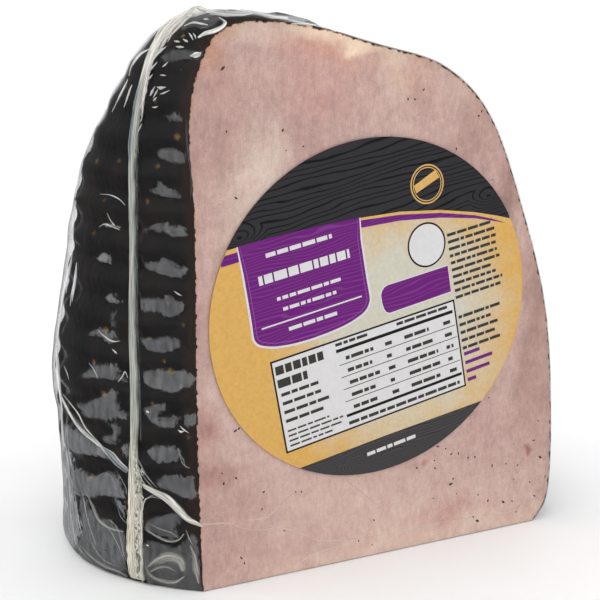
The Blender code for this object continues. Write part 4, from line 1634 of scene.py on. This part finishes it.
# Flecks of spice in the cut face: x, z, length and turn, in millimetres and degrees
FLECKS_MM = (
    (8.2, 149.4, 1.9, 40), (9.1, 132.3, 0.7, 90), (26.7, 132.0, 1.1, 75), (33.3, 127.2, 0.6, 0),
    (27.8, 126.3, 0.5, 0), (11.9, 113.8, 1.3, -35), (74.1, 142.1, 1.0, 40), (68.6, 139.5, 1.0, 100),
    (71.0, 139.4, 0.9, 10), (94.4, 133.8, 0.9, 15), (95.4, 135.2, 1.3, 60), (86.3, 124.2, 1.1, 95),
    (100.0, 114.1, 0.5, 40), (11.0, 46.8, 1.3, 30), (12.1, 47.3, 0.9, 45), (6.6, 34.8, 0.7, -20),
    (11.1, 32.6, 0.9, -60), (7.1, 31.6, 1.2, 70), (20.1, 26.9, 1.0, 15), (30.8, 25.1, 0.7, 85),
    (32.8, 24.8, 0.8, 85), (19.5, 21.7, 1.0, 60), (58.4, 11.3, 0.7, -40), (52.9, 5.6, 0.8, 90),
    (57.8, 3.4, 0.5, -30), (12.6, 7.9, 1.4, -50), (13.6, 6.1, 1.0, 90), (26.9, 13.7, 0.6, 10),
    (101.0, 44.6, 0.7, 0), (81.7, 31.4, 1.1, -10), (84.7, 30.2, 0.7, 0), (86.9, 28.1, 1.0, 35),
    (89.7, 27.9, 1.0, 90), (93.5, 25.9, 0.7, 45), (96.2, 25.7, 0.9, 90), (80.5, 27.0, 0.8, -50),
    (73.9, 25.6, 0.7, 30), (80.8, 24.4, 0.9, -60), (87.8, 19.8, 0.8, -30), (87.0, 18.2, 1.7, 15),
    (103.1, 21.7, 1.3, 90), (108.7, 21.5, 0.7, 30), (113.4, 20.2, 1.1, 40), (119.8, 27.7, 1.5, 10),
    (122.7, 21.5, 1.6, -40), (112.0, 15.6, 0.5, 0), (118.7, 13.6, 0.7, 80), (120.8, 8.5, 1.3, -35),
    (101.8, 10.1, 1.1, 60), (108.0, 8.6, 1.6, -40), (111.6, 8.3, 1.2, -60), (96.1, 5.6, 0.8, -50),
    (97.8, 4.0, 1.6, -25), (89.3, 14.6, 0.5, 0), (97.8, 12.8, 0.6, 60), (80.3, 14.6, 0.5, 0),
    (125.0, 14.5, 1.2, 80), (121.3, 34.1, 0.6, 40), (113.4, 4.3, 0.5, 0),
)


def flecks():
    """Each fleck's place, turn and size."""
    dice = random.Random(11)
    spots = []
    for x, z, length, turn in FLECKS_MM:
        width = 0.2 + 0.12 * dice.random() + 0.1 * (length > 1.5)
        size = (length * MM / 2, 0.09 * MM, width * MM)
        spots.append((on_ham((x, -0.04, z)), (0.0, -math.radians(turn), 0.0), size))
    return spots


def word_bars(rows, layer):
    """Short plain bars in rows; each row is its left end, height, length and type height."""
    dice = random.Random(5)
    spots = []
    for left, up, length, tall in rows:
        start = left
        while start < left + length:
            word = min(1.2 + 3.2 * dice.random(), left + length - start)
            if word > SHORTEST_WORD:
                place = label_point(start + word / 2, up - tall * 0.3, layer)
                size = (word * MM, 0.04 * MM, tall * 0.42 * MM)
                spots.append((place, (0.0, -PRINT_TURN, 0.0), size))
            start += word + WORD_GAP
    return spots


def shield_print():
    """Plain bars for the white lines on the shield and on the foot."""
    rows = (
        (-29.6, 24.6, 22.0, 3.0),
        (-33.2, 19.0, 30.5, 6.4),
        (-28.5, 11.1, 21.5, 2.4),
        (-27.1, 7.7, 18.0, 2.4),
        (-26.4, 1.5, 16.5, 2.6),
        (-7.7, -44.7, 17.8, 2.6),
    )
    return word_bars(rows, 9)


def small_print():
    """Rows of short plain bars where the sticker has its lines of small print."""
    dice = random.Random(5)
    rows = []
    columns = ((10, 13.8, 2.22, 15.0, 3.5, 2.1), (5, -12.6, 2.55, 12.0, 5.0, 2.2))
    for count, top, step, least, spread, tall in columns:
        for row in range(count):
            rows.append((31.9, top - step * row, least + spread * dice.random(), tall))
    for row in range(5):
        up = -12.8 - 3.9 * row
        rows.append((-9.5, up, 8.0 + 3.0 * dice.random(), 2.6))
        rows.append((11.5, up, 9.0 + 3.0 * dice.random(), 2.6))
        rows.append((4.5, up, 2.4, 2.6))
        rows.append((26.0, up, 2.6, 2.6))
    rows.append((-33.0, -8.5, 16.2, 6.2))
    rows.append((-33.0, -12.6, 10.0, 6.0))
    rows.append((-12.3, -8.1, 12.0, 2.1))
    rows.append((9.5, -8.1, 19.0, 2.1))
    rows.append((-12.0, -33.0, 41.0, 2.4))
    for top, step, spread, tall in ((-17.2, 2.75, 3.0, 2.3), (-28.9, 1.55, 6.0, 1.2)):
        for row in range(4):
            rows.append((-32.5, top - step * row, 13.0 + spread * dice.random(), tall))
    return word_bars(rows, 5)


def add_light(name, place_mm, aim_mm, size, power):
    """A soft white lamp aimed at a place, which gloss doesn't show."""
    data = bpy.data.lights.new(name, "AREA")
    data.shape = "RECTANGLE"
    data.size, data.size_y = size
    data.energy = power
    lamp = placed(name, data)
    lamp.location = on_ham(place_mm)
    lamp.rotation_mode = "QUATERNION"
    lamp.rotation_quaternion = (on_ham(aim_mm) - lamp.location).to_track_quat("-Z", "Y")
    lamp.visible_glossy = False


def make_world():
    """An even white studio; gloss sees it white only behind the pack, and dark in front."""
    world = bpy.data.worlds.new("studio")
    bpy.context.scene.world = world
    world.use_nodes = True
    tree = world.node_tree
    tree.nodes.clear()
    way = add(tree, "ShaderNodeTexCoord").outputs["Generated"]
    given = {0: way, 1: (0.48, 0.86, 0.1)}
    facing = add(tree, "ShaderNodeVectorMath", given, operation="DOT_PRODUCT").outputs["Value"]
    seen_in_gloss = between(tree, facing, 0.86, 0.99, 0.05, 0.95)
    glossy = add(tree, "ShaderNodeLightPath").outputs["Is Glossy Ray"]
    strength = add(tree, "ShaderNodeMix", {0: glossy, 2: 1.1, 3: seen_in_gloss}).outputs[0]
    given = {"Color": colour("FFFFFF"), "Strength": strength}
    light = add(tree, "ShaderNodeBackground", given).outputs["Background"]
    add(tree, "ShaderNodeOutputWorld", {"Surface": light})


def make_floor():
    """A plain pale floor, which gloss doesn't show."""
    mesh = bpy.data.meshes.new("floor")
    half = 60.0
    corners = [(-half, -half, 0.0), (half, -half, 0.0), (half, half, 0.0), (-half, half, 0.0)]
    mesh.from_pydata(corners, [], [(0, 1, 2, 3)])
    mesh.materials.append(plain_finish("pale_floor", "F9F9F9", "FBFBFB", 40.0, 0.9))
    floor = placed("floor", mesh)
    floor.location.z = -0.05 * MM
    floor.visible_glossy = False


def make_camera():
    """The camera that took the photograph."""
    data = bpy.data.cameras.new("camera")
    data.sensor_width = SENSOR
    data.lens = FOCAL_PIXELS / IMAGE_PIXELS * SENSOR
    data.clip_start = 0.01
    data.clip_end = 20.0
    camera = placed("camera", data)
    camera.location = on_ham(CAMERA_MM)
    camera.rotation_mode = "QUATERNION"
    camera.rotation_quaternion = SIGHT.to_track_quat("-Z", "Y")
    bpy.context.scene.camera = camera


# Creased film: name, pale and dark, how much it hides, its lines' size in millimetres, and how far
# from its middle its edge starts to thin out
FILM_LOOKS = {
    # white: whitened film on crimps and pleats, and a painted highlight on the glint folds; limb: a
    # painted highlight along the film's edge
    "white": ("film_fold_white_and_glint", "FBFAF6", "C6C7C6", 0.97, 0.5, 0.8),
    "soft": ("film_fold_soft", "D4D6D4", "8E9294", 0.7, 0.5, 0.3),
    "limb": ("film_fold_limb_glow", "FFFFFF", "D4D6DE", 0.95, 0.5, 0.7),
    "faint": ("film_fold_faint", "F8ECE4", "E2CCC0", 0.6, 0.5, 0.3),
    "cream": ("film_fold_cream", "F8F5EC", "C2BEB2", 0.95, 0.35, 0.75),
    "web": ("film_web", "6A7072", "34383A", 0.6, 0.6, 0.3),
    "edge": ("film_edge_grey", "74797C", "44494D", 0.55, 0.6, 0.6),
    "milky": ("film_fold_milky", "DEDCCF", "96988F", 0.6, 0.7, 0.1),
    "grey": ("film_fold_grey", "9FA9AE", "5B6164", 0.8, 0.8, 0.8),
}

# Each piece of folds: its name, whether the seam carries it too, its lines and look, its height as
# a share of its width, how far it is lifted in millimetres, how far it is turned from flat towards
# the camera, and whether it bridges the ribs
FOLD_PIECES = (
    ("white_folds", False, WHITE_GLINT_FOLDS, "white", 0.35, 0.0, 0.0, False),
    ("seam_curls", True, SEAM_CURLS, "soft", 0.5, 0.5, 0.0, False),
    ("seam_crimps", True, CRIMPS, "white", 0.5, 0.4, 0.0, False),
    ("gathered_film", True, GATHERED, "cream", 0.22, 0.1, 0.75, False),
    ("top_folds", False, TOP_FOLDS, "white", 0.4, 0.0, 0.5, True),
    ("pleat_edges", False, PLEAT_LEFT, "white", 0.5, 0.1, 0.0, False),
    ("pleat_ribbon", False, PLEAT_RIBBON, "grey", 0.2, 0.0, 0.0, False),
    ("pleat_tube", False, PLEAT_RIGHT, "cream", 0.4, 0.0, 0.0, False),
    ("haze_folds", False, HAZE_FOLDS, "soft", 0.3, 0.0, 0.0, True),
    ("face_creases", False, FACE_CREASES, "faint", 0.15, 0.0, 0.0, False),
    ("seam_web", False, SEAM_WEB, "web", 0.08, 0.15, 0.4, True),
    ("edge_film", False, EDGE_FILM, "edge", 0.12, 0.0, 0.0, False),
    ("haze_strokes", False, HAZE_STROKES, "milky", 0.12, 0.0, 0.0, True),
    ("cream_strands", True, CREAM_STRANDS, "cream", 0.5, 0.1, 0.4, False),
    ("crumples", True, crumples(), "cream", 0.6, 0.1, 0.3, False),
    ("limb_folds", False, LIMB_GLOW_BAND, "limb", 0.3, 0.1, 1.0, True),
)


def dress_label():
    """The sticker's paper, and its inks in the order of INKS."""
    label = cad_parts["label"]
    label.data.materials.clear()
    label.data.materials.append(label_paper())
    white_ink = plain_finish("white_ink", "CECDCE", "D2D1D1", 2.0, 0.5)
    inks = (
        printed_ink("charcoal_ink", "333235", "151517", 1.7, 0.95),
        plain_finish("gold_ink", "CBA25D", "D2AB69", 1.0, 0.5),
        printed_ink("purple_ink", "681E73", "7C4486", 1.1, 0.6),
        white_ink,
        plain_finish("black_ink", "201F20", "262425", 1.0, 0.5),
        printed_ink("charcoal_ink_foot", "464445", "2B2A2B", 0.8, 0.8),
        plain_finish("light_purple_ink", "84488F", "8A4E95", 1.0, 0.5),
    )
    return print_mesh("label_print", prints(), inks), white_ink


def main():
    """The dressed ham in its studio."""
    ham = wrap_mesh("ham", False, [glazed_rind(), cut_ham()])
    film = clear_film()
    bag = wrap_mesh("film", True, [film, film])
    seam = strip_mesh("sealed_seam", [seam_rows()], SEAM_SECTION)
    seam.data.materials.append(sealed_film())
    pieces = [ham, bag, seam]
    skins = {False: tree_of(bag), True: tree_of(bag, seam)}
    looks = {key: creased_film(*look) for key, look in FILM_LOOKS.items()}
    for name, on_seam, lines, look, *shape in FOLD_PIECES:
        pieces.append(folds(name, skins[on_seam], lines, looks[look], *shape))
    label_print, white_ink = dress_label()
    scatter = instance_tree()
    bead = lump("bead")
    word = block("word")
    spice = plain_finish("dried_spice", "3A2F2B", "57483F", 0.6, 0.6)
    grey_ink = plain_finish("dark_grey_ink", "393734", "413F3B", 1.0, 0.5)
    pieces += [
        label_print,
        set_out("spice_flecks", scatter, bead, flecks(), spice),
        set_out("small_print", scatter, word, small_print(), grey_ink),
        set_out("shield_print", scatter, word, shield_print(), white_ink),
    ]
    for piece in pieces:
        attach(piece, "root")
    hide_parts("vacuum_pack")
    bpy.data.objects.remove(bead)
    bpy.data.objects.remove(word)
    make_world()
    make_floor()
    make_camera()
    add_light("key", (-500.0, -900.0, 900.0), (40.0, 0.0, 80.0), (0.7, 0.7), 1.6)
    add_light("strip", (-900.0, 60.0, 420.0), (0.0, 20.0, 110.0), (0.03, 0.5), 0.5)
    bpy.context.scene.view_settings.view_transform = "Standard"


main()
